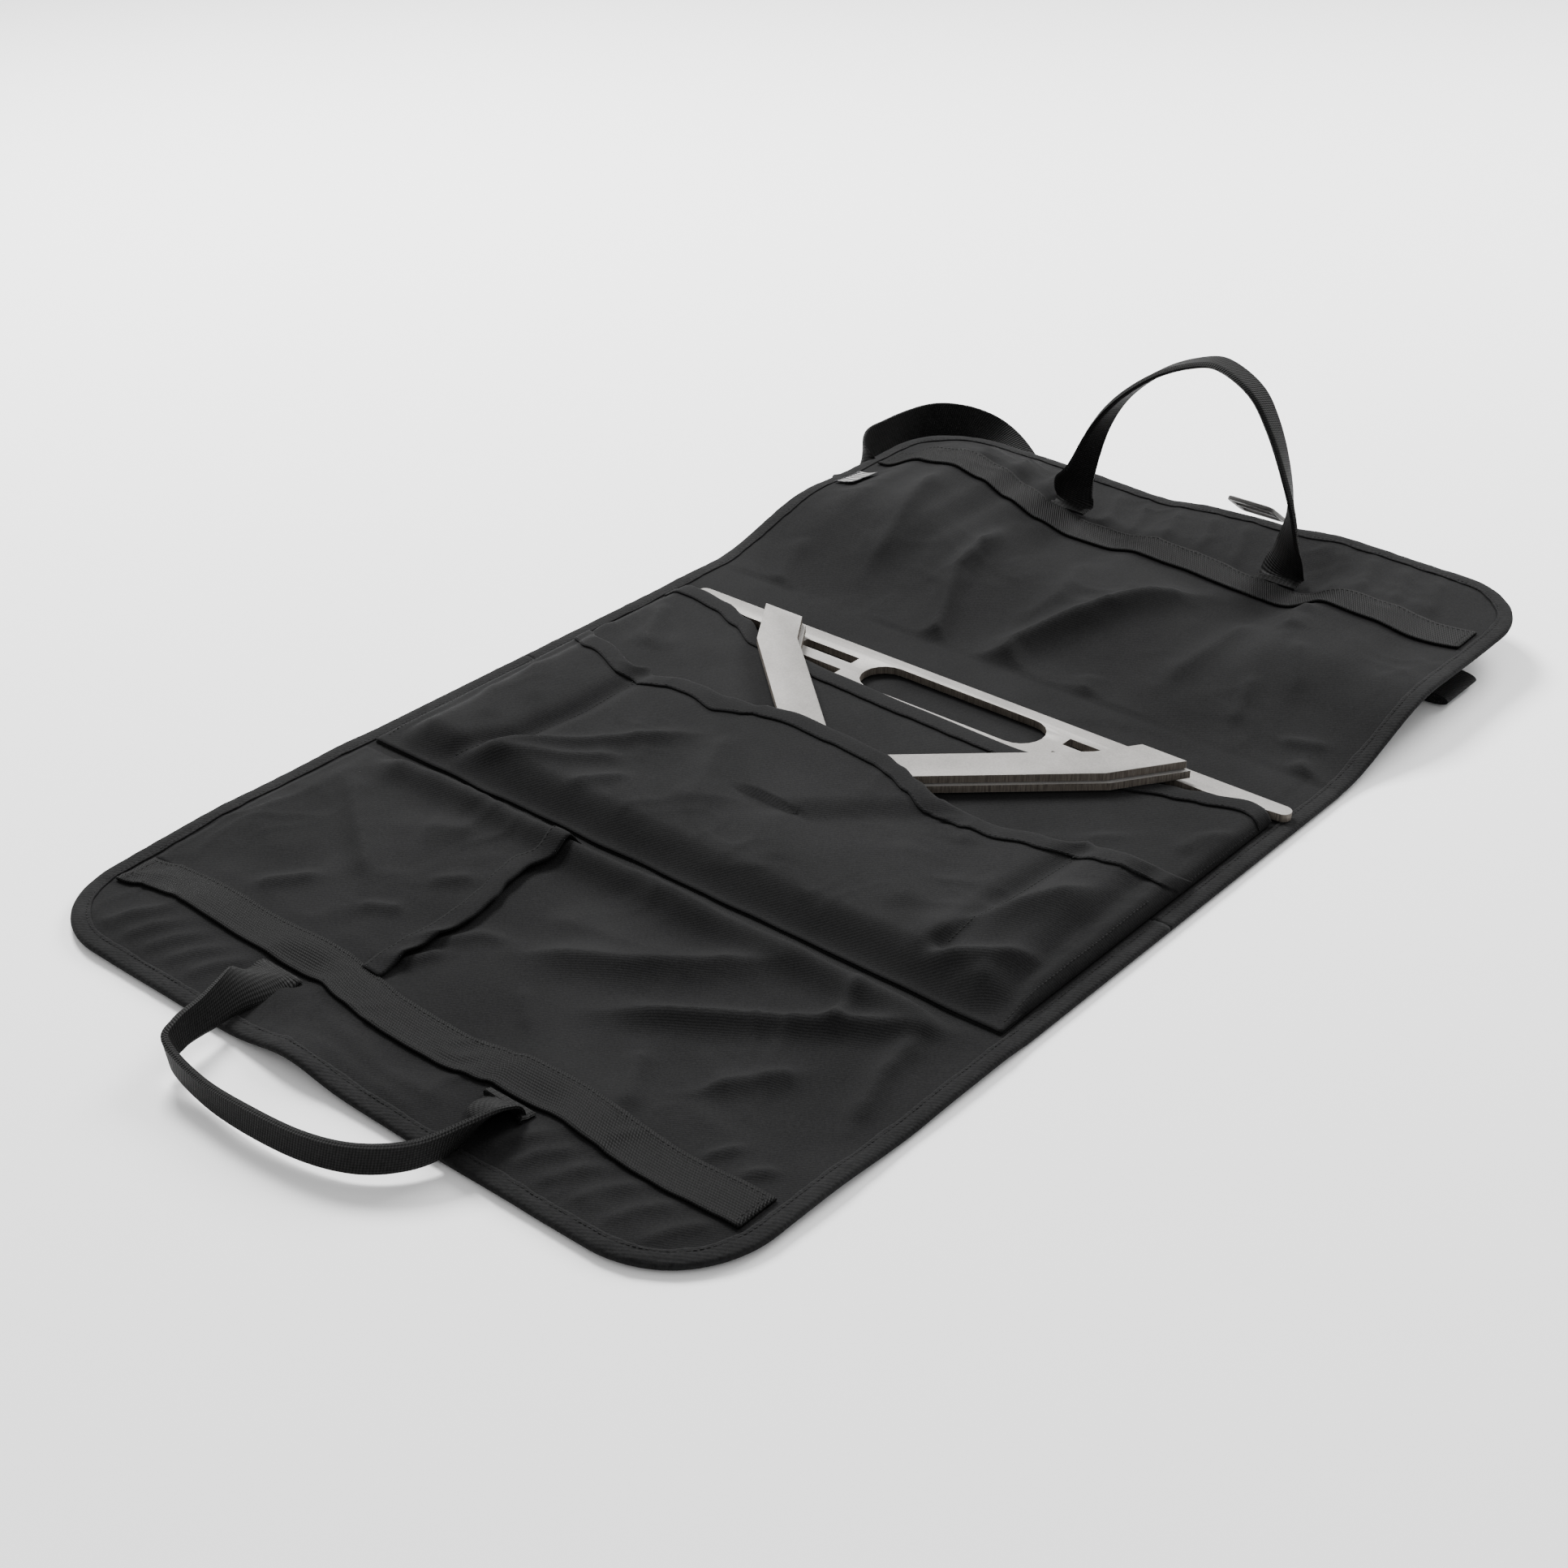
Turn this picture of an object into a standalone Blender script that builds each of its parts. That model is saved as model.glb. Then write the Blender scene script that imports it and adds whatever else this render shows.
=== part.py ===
"""Fold-out carry bag lying open: three hinged cloth panels, two webbing handles, two stacked
pockets with flat steel plates in them, and a shoulder strap underneath.

Metres, +Z up. The origin is the centre of the pocket panel's underside. +Y runs along the bag
from the near handle to the far handle, and +X runs across it.
"""

import math

import bmesh
import bpy
from mathutils import Vector

MM = 0.001

# Overall sizes
bag_width = 480 * MM
near_length = 236 * MM  # near edge to near fold
pocket_length = 280 * MM  # near fold to far fold
far_length = 299 * MM  # far fold to far edge
corner_radius = 60 * MM
fold_gap = 1 * MM  # each panel stops this short of a fold line
layer_gap = 0.3 * MM  # clearance between two layers that touch

# Cloth layers
shell_thickness = 1.2 * MM
lining_thickness = 1.2 * MM
pocket_thickness = 0.8 * MM
tape_thickness = 0.8 * MM
tape_width = 12 * MM  # binding tape, measured in from the edge
hem_width = 12 * MM

# Webbing
band_width = 26 * MM
band_thickness = 1.4 * MM
near_band_inset = 52 * MM  # near edge to the band's outer edge
far_band_inset = 68 * MM
handle_spread = 166 * MM  # between the middles of a handle's two ends
handle_gap = 2.5 * MM  # between a band's edge and the handle beside it
band_side_gap = 2.5 * MM  # band end to the binding tape, which curves in at the corners
strap_width = 38 * MM
strap_thickness = 1.8 * MM
strap_drawn_half_width = 240 * MM  # the bag's half width the strap stations were set out for
strap_outer_x = 140  # in millimetres; stations further out than this move with the sides
strap_y = 335 * MM  # where both ends of the strap are sewn to the underside
anchor_size = (32 * MM, 42 * MM, 1.2 * MM)  # patch sewn over each end of the strap

# Rise of the far panel, which lies on the folded strap
rise = 22 * MM
rise_start = 40 * MM  # past the far fold
rise_end = 145 * MM

# Steel plates
plate_thickness = 5 * MM
plate_centre_x = 12 * MM
plate_top = 138.5 * MM
plate_length = 444 * MM
plate_depth = 205 * MM
plate_arm = 15.5 * MM
plate_body = 236 * MM
plate_tip_radius = 5 * MM
hand_slot_length = 133 * MM
hand_slot_width = 32 * MM
hand_slot_drop = 25 * MM  # below the plate's top edge
side_slot_width = 8.5 * MM
side_slot_start = 79.5 * MM  # from the plate's middle
side_slots = ((18.5 * MM, 42 * MM), (37 * MM, 36 * MM))  # drop below the top edge, length
bracket_centre_x = 11.5 * MM
bracket_top = 126.5 * MM
bracket_width = 25 * MM
bracket_height = 141 * MM  # top to the middle of the foot
bracket_knee_drop = 33 * MM
bracket_knee_x = 120.5 * MM
bracket_tip_x = 142.5 * MM
bracket_shift = 3 * MM  # the lower bracket lies this far to the right

# Pockets
pocket_side_gap = 0.5 * MM  # pocket edge to the binding tape
pocket_shoulder = 4.5 * MM  # width of the inner pocket's sloping side
inner_mouth = 122 * MM
inner_mouth_dip = 36 * MM
outer_mouth = 34 * MM
outer_mouth_dip = 13 * MM
side_pocket_mouth = -46 * MM
side_pocket_depth = 6 * MM
side_pocket_slope = 10 * MM

# Label and slider
label_size = (17 * MM, 23 * MM, 1 * MM)
label_y = 305 * MM
slider_size = (36 * MM, 30 * MM, 3 * MM)
slider_bar = 4 * MM
slider_tilt = math.radians(-36)
slider_x = 20 * MM
slider_out = 16 * MM  # its middle lies this far past the far edge
slider_height = 24 * MM  # of its middle above the floor

# Positions that follow from those sizes
half_width = bag_width / 2
near_fold = -pocket_length / 2
far_fold = pocket_length / 2
near_edge = near_fold - near_length
far_edge = far_fold + far_length
cloth_inset = tape_thickness + layer_gap
shell_z = tape_thickness + layer_gap  # the tape's lower leg lies under the shell
lining_z = shell_z + shell_thickness + layer_gap
top_z = lining_z + lining_thickness + layer_gap  # what lies on the lining starts here
inner_side = half_width - tape_width
pocket_side = inner_side - pocket_side_gap
plate_z = top_z + 1 * MM
inner_pocket_z = plate_z + plate_thickness + layer_gap
inner_hem_z = inner_pocket_z + pocket_thickness + layer_gap
lower_bracket_z = inner_hem_z + tape_thickness + layer_gap
upper_bracket_z = lower_bracket_z + plate_thickness + layer_gap
outer_pocket_z = upper_bracket_z + plate_thickness + layer_gap
near_band_y = near_edge + near_band_inset
far_band_y = far_edge - far_band_inset

materials = {}


def material(name, colour, roughness, metallic=0.0):
    """One Principled material for each finish."""
    if name not in materials:
        made = bpy.data.materials.new(name)
        made.use_nodes = True
        shader = made.node_tree.nodes["Principled BSDF"]
        shader.inputs["Base Color"].default_value = (*colour, 1)
        shader.inputs["Roughness"].default_value = roughness
        shader.inputs["Metallic"].default_value = metallic
        materials[name] = made
    return materials[name]


def canvas():
    return material("black_canvas", (0.022, 0.022, 0.023), 0.85)


def pocket_cloth():
    return material("pocket_cloth", (0.025, 0.025, 0.026), 0.85)


def tape_cloth():
    return material("binding_tape", (0.03, 0.03, 0.031), 0.8)


def webbing():
    return material("black_webbing", (0.018, 0.018, 0.018), 0.7)


def steel():
    return material("blasted_steel", (0.42, 0.41, 0.39), 0.55, 0.9)


def hardware():
    return material("dark_hardware", (0.08, 0.08, 0.08), 0.4, 0.9)


def woven_label():
    return material("woven_label", (0.5, 0.42, 0.42), 0.8)


def add(name, mesh_or_curve, finish):
    """Links a named object with its own finish."""
    made = bpy.data.objects.new(name, mesh_or_curve)
    bpy.context.scene.collection.objects.link(made)
    made.data.materials.append(finish)
    return made


def add_bmesh(name, shape, finish):
    bmesh.ops.recalc_face_normals(shape, faces=shape.faces)
    mesh = bpy.data.meshes.new(name)
    shape.to_mesh(mesh)
    shape.free()
    return add(name, mesh, finish)


def smooth_step(value):
    value = min(1.0, max(0.0, value))
    return value * value * (3 - 2 * value)


def panel_height(y):
    """Height of the cloth above the floor plane: flat, then rising over the folded strap."""
    return rise * smooth_step((y - far_fold - rise_start) / (rise_end - rise_start))


rise_lines = [far_fold + rise_start + (rise_end - rise_start) * step / 5 for step in range(6)]


def arc(centre, radius, start, end, steps):
    """Points along an arc, in degrees."""
    angles = [math.radians(start + (end - start) * step / steps) for step in range(steps + 1)]
    return [(centre[0] + radius * math.cos(a), centre[1] + radius * math.sin(a)) for a in angles]


def end_outline(inset, fold, edge):
    """Open outline of an end panel: up one side, round both corners and down the other side."""
    out = 1 if edge > fold else -1
    side = half_width - inset
    end = edge - out * inset
    radius = corner_radius - inset
    centre_x = side - radius
    centre_y = end - out * radius
    start = fold + out * fold_gap
    first = arc((-centre_x, centre_y), radius, 180, 180 - out * 90, 8)
    second = arc((centre_x, centre_y), radius, out * 90, 0, 8)
    return [(-side, start), *first, *second, (side, start)]


def with_rise_lines(points):
    """Adds a point wherever a straight side crosses a line at which the slope changes."""
    result = [points[0]]
    for here, there in zip(points, points[1:]):
        low, high = sorted((here[1], there[1]))
        crossed = [y for y in rise_lines if low < y < high]
        for y in sorted(crossed, reverse=there[1] < here[1]):
            share = (y - here[1]) / (there[1] - here[1])
            result.append((here[0] + share * (there[0] - here[0]), y))
        result.append(there)
    return result


def panel(name, outline, z, thickness, finish):
    """A flat or rising cloth panel: the outline filled, cut at the slope lines and extruded up."""
    shape = bmesh.new()
    shape.faces.new([shape.verts.new((x, y, 0)) for x, y in outline])
    for line in rise_lines:
        everything = shape.verts[:] + shape.edges[:] + shape.faces[:]
        bmesh.ops.bisect_plane(shape, geom=everything, plane_co=(0, line, 0), plane_no=(0, 1, 0))
    for vert in shape.verts:
        vert.co.z = z + panel_height(vert.co.y)
    bmesh.ops.triangulate(shape, faces=shape.faces)
    extrude_up(shape, thickness)
    return add_bmesh(name, shape, finish)


def extrude_up(shape, thickness):
    made = bmesh.ops.extrude_face_region(shape, geom=shape.faces[:])
    lifted = [item for item in made["geom"] if isinstance(item, bmesh.types.BMVert)]
    bmesh.ops.translate(shape, verts=lifted, vec=(0, 0, thickness))


def tray(name, columns, rows, height, thickness, finish):
    """A thin sheet over a grid; rows are functions of x, and height gives its underside."""
    shape = bmesh.new()
    grid = [[shape.verts.new((x, row(x), height(x, row(x)))) for x in columns] for row in rows]
    for lower, upper in zip(grid, grid[1:]):
        for left in range(len(columns) - 1):
            a, b, c, d = lower[left], lower[left + 1], upper[left + 1], upper[left]
            shape.faces.new((a, b, c))
            shape.faces.new((a, c, d))
    extrude_up(shape, thickness)
    return add_bmesh(name, shape, finish)


def edge_tape(name, path, finish):
    """Binding tape folded round the edge of the cloth: a C section swept along the outer edge."""
    high = top_z + tape_thickness
    section = [
        (0, 0),
        (tape_width, 0),
        (tape_width, tape_thickness),
        (tape_thickness, tape_thickness),
        (tape_thickness, top_z),
        (tape_width, top_z),
        (tape_width, high),
        (0, high),
    ]
    shape = bmesh.new()
    rings = []
    points = [Vector(point) for point in path]
    for index, point in enumerate(points):
        before = (point - points[max(index - 1, 0)]).normalized()
        after = (points[min(index + 1, len(points) - 1)] - point).normalized()
        along = (before + after).normalized()
        inward = Vector((along.y, -along.x))
        if inward.dot(Vector((0, (near_edge + far_edge) / 2)) - point) < 0:
            inward = -inward
        mitre = 1 / max(0.5, abs(Vector((along.y, -along.x)).dot(Vector((after.y, -after.x)))))
        mitre = mitre if 0 < index < len(points) - 1 else 1
        lift = panel_height(point.y)
        rings.append(
            [
                shape.verts.new((*(point + inward * depth * mitre), z + lift))
                for depth, z in section
            ]
        )
    join_rings(shape, rings, caps=((0, 1, 2, 3), (0, 3, 4, 7), (4, 5, 6, 7)))
    return add_bmesh(name, shape, finish)


def join_rings(shape, rings, caps=((0, 1, 2, 3),)):
    """Skins a row of equal rings and closes both ends with the faces that caps lists."""
    count = len(rings[0])
    for here, there in zip(rings, rings[1:]):
        for corner in range(count):
            after = (corner + 1) % count
            shape.faces.new((here[corner], here[after], there[after], there[corner]))
    for ring in (rings[0], rings[-1]):
        for cap in caps:
            shape.faces.new([ring[corner] for corner in cap])
    bmesh.ops.triangulate(shape, faces=shape.faces)


def through(points, share):
    """A point on the Catmull-Rom curve through equal-length tuples, share running from 0 to 1."""
    place = share * (len(points) - 1)
    index = min(int(place), len(points) - 2)
    t = place - index
    ends = [points[max(index - 1, 0)], points[index]]
    ends += [points[index + 1], points[min(index + 2, len(points) - 1)]]
    result = []
    for a, b, c, d in zip(*ends):
        result.append(
            0.5 * (2 * b + (c - a) * t + (2 * a - 5 * b + 4 * c - d) * t**2 + (3 * b - a - 3 * c + d) * t**3)
        )
    return result


def ribbon(name, stations, steps, finish):
    """Webbing along a smooth path. A station is x, y, z, the width's direction, width, thickness."""
    places = [through(stations, step / steps) for step in range(steps + 1)]
    shape = bmesh.new()
    rings = []
    for index, place in enumerate(places):
        centre = Vector(place[:3])
        before, after = places[max(index - 1, 0)], places[min(index + 1, steps)]
        along = (Vector(after[:3]) - Vector(before[:3])).normalized()
        across = Vector(place[3:6])
        across = (across - along * across.dot(along)).normalized()
        normal = along.cross(across).normalized()
        side, up = across * place[6] / 2, normal * place[7] / 2
        corners = (side + up, side - up, -side - up, -side + up)
        rings.append([shape.verts.new(centre + corner) for corner in corners])
    join_rings(shape, rings)
    return add_bmesh(name, shape, finish)


def plate(name, outlines, z, thickness, finish):
    """A flat plate cut from the first outline, with the other outlines as its holes."""
    curve = bpy.data.curves.new(name, "CURVE")
    curve.dimensions = "2D"
    curve.fill_mode = "BOTH"
    curve.extrude = thickness / 2
    for outline in outlines:
        spline = curve.splines.new("POLY")
        spline.points.add(len(outline) - 1)
        spline.use_cyclic_u = True
        for point, (x, y) in zip(spline.points, outline):
            point.co = (x, y, 0, 1)
    made = add(name, curve, finish)
    made.location.z = z + thickness / 2
    return made


def block(name, low, high, finish):
    shape = bmesh.new()
    bmesh.ops.create_cube(shape, size=1)
    size = Vector(high) - Vector(low)
    bmesh.ops.scale(shape, vec=size, verts=shape.verts)
    bmesh.ops.translate(shape, vec=(Vector(low) + Vector(high)) / 2, verts=shape.verts)
    return add_bmesh(name, shape, finish)


# Near panel


def build_near_panel():
    outline = end_outline(cloth_inset, near_fold, near_edge)
    panel("near_outer_shell", outline, shell_z, shell_thickness, canvas())
    panel("near_lining", outline, lining_z, lining_thickness, canvas())
    edge_tape("near_binding", end_outline(0, near_fold, near_edge), tape_cloth())
    build_band("near_webbing_band", near_band_y)
    build_side_pocket()


def build_band(name, outer_edge_y):
    """Webbing sewn right across the panel, over the ends of the handle."""
    inward = 1 if outer_edge_y < 0 else -1
    low, high = sorted((outer_edge_y, outer_edge_y + inward * band_width))
    z = top_z + panel_height(high)
    side = inner_side - band_side_gap
    block(name, (-side, low, z), (side, high, z + band_thickness), webbing())


def build_side_pocket():
    """The narrow pocket along the near panel's left side, entered from the right."""
    left = -pocket_side
    low = near_band_y + band_width + handle_gap
    high = near_fold - fold_gap
    slope = side_pocket_slope

    def height(x, y):
        inside = min(x - left, y - low, high - y)
        return top_z + side_pocket_depth * min(1.0, max(0.0, inside / slope))

    rows = [lambda x, y=y: y for y in (low, low + slope, high - slope, high)]
    columns = (left, left + slope, side_pocket_mouth - hem_width, side_pocket_mouth)
    tray("near_side_pocket", columns, rows, height, pocket_thickness, pocket_cloth())
    lift = pocket_thickness + layer_gap
    tray(
        "near_side_pocket_hem",
        columns[2:],
        rows,
        lambda x, y: height(x, y) + lift,
        tape_thickness,
        tape_cloth(),
    )


# Pocket panel


def build_pocket_panel():
    side = half_width - cloth_inset
    low, high = near_fold + fold_gap, far_fold - fold_gap
    outline = [(-side, low), (-side, high), (side, high), (side, low)]
    build_sagging_shell(side, low, high)
    panel("middle_lining", outline, lining_z, lining_thickness, canvas())
    for name, x in (("middle_binding_left", -half_width), ("middle_binding_right", half_width)):
        edge_tape(name, [(x, low), (x, high)], tape_cloth())


def build_sagging_shell(side, low, high):
    """Underside of the pocket panel: its rim inside the tape, and the rest down on the floor."""
    sag = inner_side - pocket_side_gap
    top = shell_z + shell_thickness
    section = [(-side, shell_z), (-sag, shell_z), (-sag, 0), (sag, 0)]
    section += [(sag, shell_z), (side, shell_z), (side, top), (-side, top)]
    shape = bmesh.new()
    rings = [[shape.verts.new((x, y, z)) for x, z in section] for y in (low, high)]
    join_rings(shape, rings, caps=((1, 2, 3, 4), (0, 1, 7), (1, 4, 6, 7), (4, 5, 6)))
    add_bmesh("middle_outer_shell", shape, canvas())


def mouth_share(x):
    """0 in the sagging middle of a pocket's mouth, 1 at its sides."""
    return smooth_step((abs(x) - 70 * MM) / (130 * MM))


def inner_mouth_line(x):
    return inner_mouth - inner_mouth_dip * (1 - mouth_share(x))


def outer_mouth_line(x):
    return outer_mouth - outer_mouth_dip * (1 - mouth_share(x))


pocket_low = near_fold + 4 * MM
pocket_columns = [
    share * pocket_side for share in (-0.92, -0.73, -0.49, -0.3, 0, 0.3, 0.53, 0.77, 0.92)
]
pocket_columns = [
    -pocket_side,
    -pocket_side + pocket_shoulder,
    *pocket_columns,
    pocket_side - pocket_shoulder,
    pocket_side,
]
pocket_rows = [pocket_low, pocket_low + 13 * MM, pocket_low + 33 * MM]


def inner_height(x, y):
    """Underside of the inner pocket: sewn down at its sides and its foot, over the plate between."""
    inside = min(1.0, (pocket_side - abs(x)) / pocket_shoulder, (y - pocket_low) / (13 * MM))
    return top_z + (inner_pocket_z - top_z) * max(0.0, inside)


def outer_height(x, y):
    """Underside of the outer pocket: on the inner pocket at the sides, over the brackets between."""
    left, right = 0.73 * pocket_side, 0.77 * pocket_side
    flat_left, flat_right = 0.49 * pocket_side, 0.53 * pocket_side
    across = (x + left) / (left - flat_left) if x < 0 else (right - x) / (right - flat_right)
    foot = (y - pocket_low) / (33 * MM)
    bump = min(1.0, max(0.0, across)) * min(1.0, max(0.0, foot))
    base = inner_height(x, y) + pocket_thickness + layer_gap
    return base + bump * (outer_pocket_z - inner_pocket_z - pocket_thickness - layer_gap)


def build_pockets():
    fixed = [lambda x, y=y: y for y in pocket_rows]
    outer_rows = [*fixed, lambda x: outer_mouth_line(x) - hem_width, outer_mouth_line]
    inner_rows = [*outer_rows, lambda x: inner_mouth_line(x) - hem_width, inner_mouth_line]
    tray("inner_pocket", pocket_columns, inner_rows, inner_height, pocket_thickness, pocket_cloth())
    tray("outer_pocket", pocket_columns, outer_rows, outer_height, pocket_thickness, pocket_cloth())
    lift = pocket_thickness + layer_gap
    tray(
        "inner_pocket_hem",
        pocket_columns,
        inner_rows[-2:],
        lambda x, y: inner_height(x, y) + lift,
        tape_thickness,
        tape_cloth(),
    )
    tray(
        "outer_pocket_hem",
        pocket_columns,
        outer_rows[-2:],
        lambda x, y: outer_height(x, y) + lift,
        tape_thickness,
        tape_cloth(),
    )


# Far panel


def build_far_panel():
    outline = with_rise_lines(end_outline(cloth_inset, far_fold, far_edge))
    panel("far_outer_shell", outline, shell_z, shell_thickness, canvas())
    panel("far_lining", outline, lining_z, lining_thickness, canvas())
    path = with_rise_lines(end_outline(0, far_fold, far_edge))
    edge_tape("far_binding", path, tape_cloth())
    build_band("far_webbing_band", far_band_y)
    x = -pocket_side
    z = top_z + panel_height(label_y + label_size[1] / 2)
    low = (x, label_y - label_size[1] / 2, z)
    high = (x + label_size[0], label_y + label_size[1] / 2, z + label_size[2])
    block("woven_label", low, high, woven_label())


# Handles


def handle_stations(rows, origin_y, origin_z):
    """Stations in millimetres from the handle's hinge line, as x, out, up, direction and section."""
    return [
        (
            x * MM,
            origin_y + y * MM,
            origin_z + z * MM,
            a,
            b,
            c,
            width * MM,
            thickness * MM,
        )
        for x, y, z, a, b, c, width, thickness in rows
    ]


def build_near_handle():
    """Loop lying outwards over the near edge, its folded grip standing on edge."""
    end = handle_spread / 2 / MM
    rows = (
        (-end, 0, 0, -1, 0, 0, 30, 1.6),
        (-end, -5, 1.5, -1, 0, 0, 29, 1.6),
        (-end + 1, -15, 5, -0.97, 0, 0.2, 28, 1.8),
        (-end + 6, -34, 10, -0.6, 0, 0.8, 20, 2.6),
        (-end + 12, -56, 12, -0.35, 0, 0.93, 16, 3.2),
        (-end + 16, -75, 12.5, -0.2, 0, 0.97, 15, 3.2),
        (-end + 27, -87, 9, -0.1, -0.1, 1, 15, 3.2),
        (-end + 53, -92, 5.5, 0, -0.1, 1, 15, 3.2),
        (5, -93, 5, 0, 0, 1, 15, 3.2),
        (end - 43, -89, 5, 0, 0, 1, 15, 3.2),
        (end - 17, -79, 5.5, 0, 0, 1, 15, 3.2),
        (end + 1, -61, 7, 0.15, 0, 1, 15, 3.2),
        (end + 8, -38, 9.5, 0.4, 0, 0.9, 17, 2.8),
        (end + 6, -20, 8.5, 0.8, 0, 0.55, 22, 2.2),
        (end, -9, 4.5, 0.97, 0, 0.15, 28, 1.8),
        (end, -4, 1.5, 1, 0, 0, 29, 1.6),
        (end, 0, 0, 1, 0, 0, 30, 1.6),
    )
    z = top_z + 0.8 * MM
    stations = handle_stations(rows, near_band_y - handle_gap, z)
    ribbon("near_handle", stations, 36, webbing())


def build_far_handle():
    """Loop standing up from the far band and twisting a quarter turn on each side."""
    end = handle_spread / 2 / MM
    rows = (
        (-end, 0, 0, 1, 0, 0, 30, 1.6),
        (-end, 2.5, 0.8, 1, 0, 0, 29, 1.6),
        (-end, 5, 3.5, 1, 0, 0, 28, 1.8),
        (-end + 2, 6, 13, 0.95, 0.3, 0, 22, 2.6),
        (-end + 9, 5, 30, 0.8, 0.6, 0, 16, 3.2),
        (-end + 20, 4, 60, 0.4, 0.9, 0, 15, 3.2),
        (-end + 38, 3, 87, 0.1, 1, 0, 15, 3.2),
        (-end + 66, 3, 111, 0, 1, 0, 15, 3.2),
        (13, 3, 125, 0, 1, 0, 15, 3.2),
        (31, 3, 126, 0, 1, 0, 15, 3.2),
        (end - 30, 3, 115, 0, 1, 0, 15, 3.2),
        (end - 16, 3, 96, -0.1, 1, 0, 15, 3.2),
        (end - 4, 3, 70, -0.3, 0.95, 0, 15, 3.2),
        (end + 4, 4, 42, -0.6, 0.8, 0, 16, 3.2),
        (end + 4, 6, 19, -0.9, 0.4, 0, 20, 2.6),
        (end, 5, 4, -1, 0, 0, 28, 1.8),
        (end, 2.5, 0.8, -1, 0, 0, 29, 1.6),
        (end, 0, 0, -1, 0, 0, 30, 1.6),
    )
    z = top_z + panel_height(far_band_y) + 0.8 * MM
    stations = handle_stations(rows, far_band_y + handle_gap, z)
    ribbon("far_handle", stations, 40, webbing())


# Steel plates


def build_hand_plate():
    """Flat plate with a hand slot and long tapering arms along its top edge."""

    def at(x, drop):
        return plate_centre_x + x, plate_top - drop

    half = plate_length / 2
    body = plate_body / 2
    radius = plate_tip_radius
    lower = plate_top - plate_depth
    chamfer = 30 * MM
    right = [
        at(body - chamfer, plate_depth),
        at(body, plate_depth - chamfer),
        at(body, 46 * MM),
        at(body + 18 * MM, plate_arm),
        at(half - 50 * MM, plate_arm),
    ]
    right += arc(at(half - radius, radius), radius, -70, 90, 6)
    left = [(2 * plate_centre_x - x, y) for x, y in reversed(right)]
    outline = right + left
    slot_end = (hand_slot_length - hand_slot_width) / 2
    slot = arc(at(slot_end, hand_slot_drop), hand_slot_width / 2, -90, 90, 10)
    slot += arc(at(-slot_end, hand_slot_drop), hand_slot_width / 2, 90, 270, 10)
    holes = [slot]
    for drop, length in side_slots:
        for side in (-1, 1):
            low, high = drop + side_slot_width / 2, drop - side_slot_width / 2
            near, away = side * side_slot_start, side * (side_slot_start + length)
            holes.append([at(near, low), at(away, low), at(away, high), at(near, high)])
    plate("hand_plate", [outline, *holes], plate_z, plate_thickness, steel())
    return lower


def crossing(a, b, c, d):
    """Where the line through a and b meets the line through c and d."""
    r, s = b - a, d - c
    share = ((c - a).x * s.y - (c - a).y * s.x) / (r.x * s.y - r.y * s.x)
    return a + r * share


def bracket_outline():
    """V-shaped bar of constant width, knees bent inwards, ends cut level."""
    knee = Vector((bracket_knee_x, -bracket_knee_drop))
    tip = Vector((bracket_tip_x, 0))
    foot = Vector((0, -bracket_height))
    sides = []
    for sign in (1, -1):
        lower = Vector((knee - foot).orthogonal()).normalized() * bracket_width / 2 * sign
        upper = Vector((tip - knee).orthogonal()).normalized() * bracket_width / 2 * sign
        middle = crossing(foot + lower, knee + lower, knee + upper, tip + upper)
        end = crossing(knee + upper, tip + upper, Vector((0, 0)), Vector((1, 0)))
        start = crossing(foot + lower, knee + lower, Vector((0, 0)), Vector((0, 1)))
        sides.append([start, middle, end])
    first, second = sides
    right = [*first, *reversed(second)]
    left = [Vector((-point.x, point.y)) for point in reversed(right[1:-1])]
    return right + left


def build_brackets():
    for name, z, shift in (
        ("lower_bracket", lower_bracket_z, bracket_shift),
        ("upper_bracket", upper_bracket_z, 0),
    ):
        x = bracket_centre_x + shift
        outline = [(x + point.x, bracket_top + point.y) for point in bracket_outline()]
        plate(name, [outline], z, plate_thickness, steel())


# Shoulder strap


def strap(name, rows, steps):
    """Strap stations in millimetres; z is above the floor plane."""
    width, thickness = strap_width, strap_thickness
    spread = half_width - strap_drawn_half_width  # the outer stations follow the bag's sides
    stations = []
    for x, y, z, a, b, c in rows:
        shift = math.copysign(spread, x) if abs(x) >= strap_outer_x else 0
        stations.append((x * MM + shift, y * MM, z * MM, a, b, c, width, thickness))
    ribbon(name, stations, steps, webbing())


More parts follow.
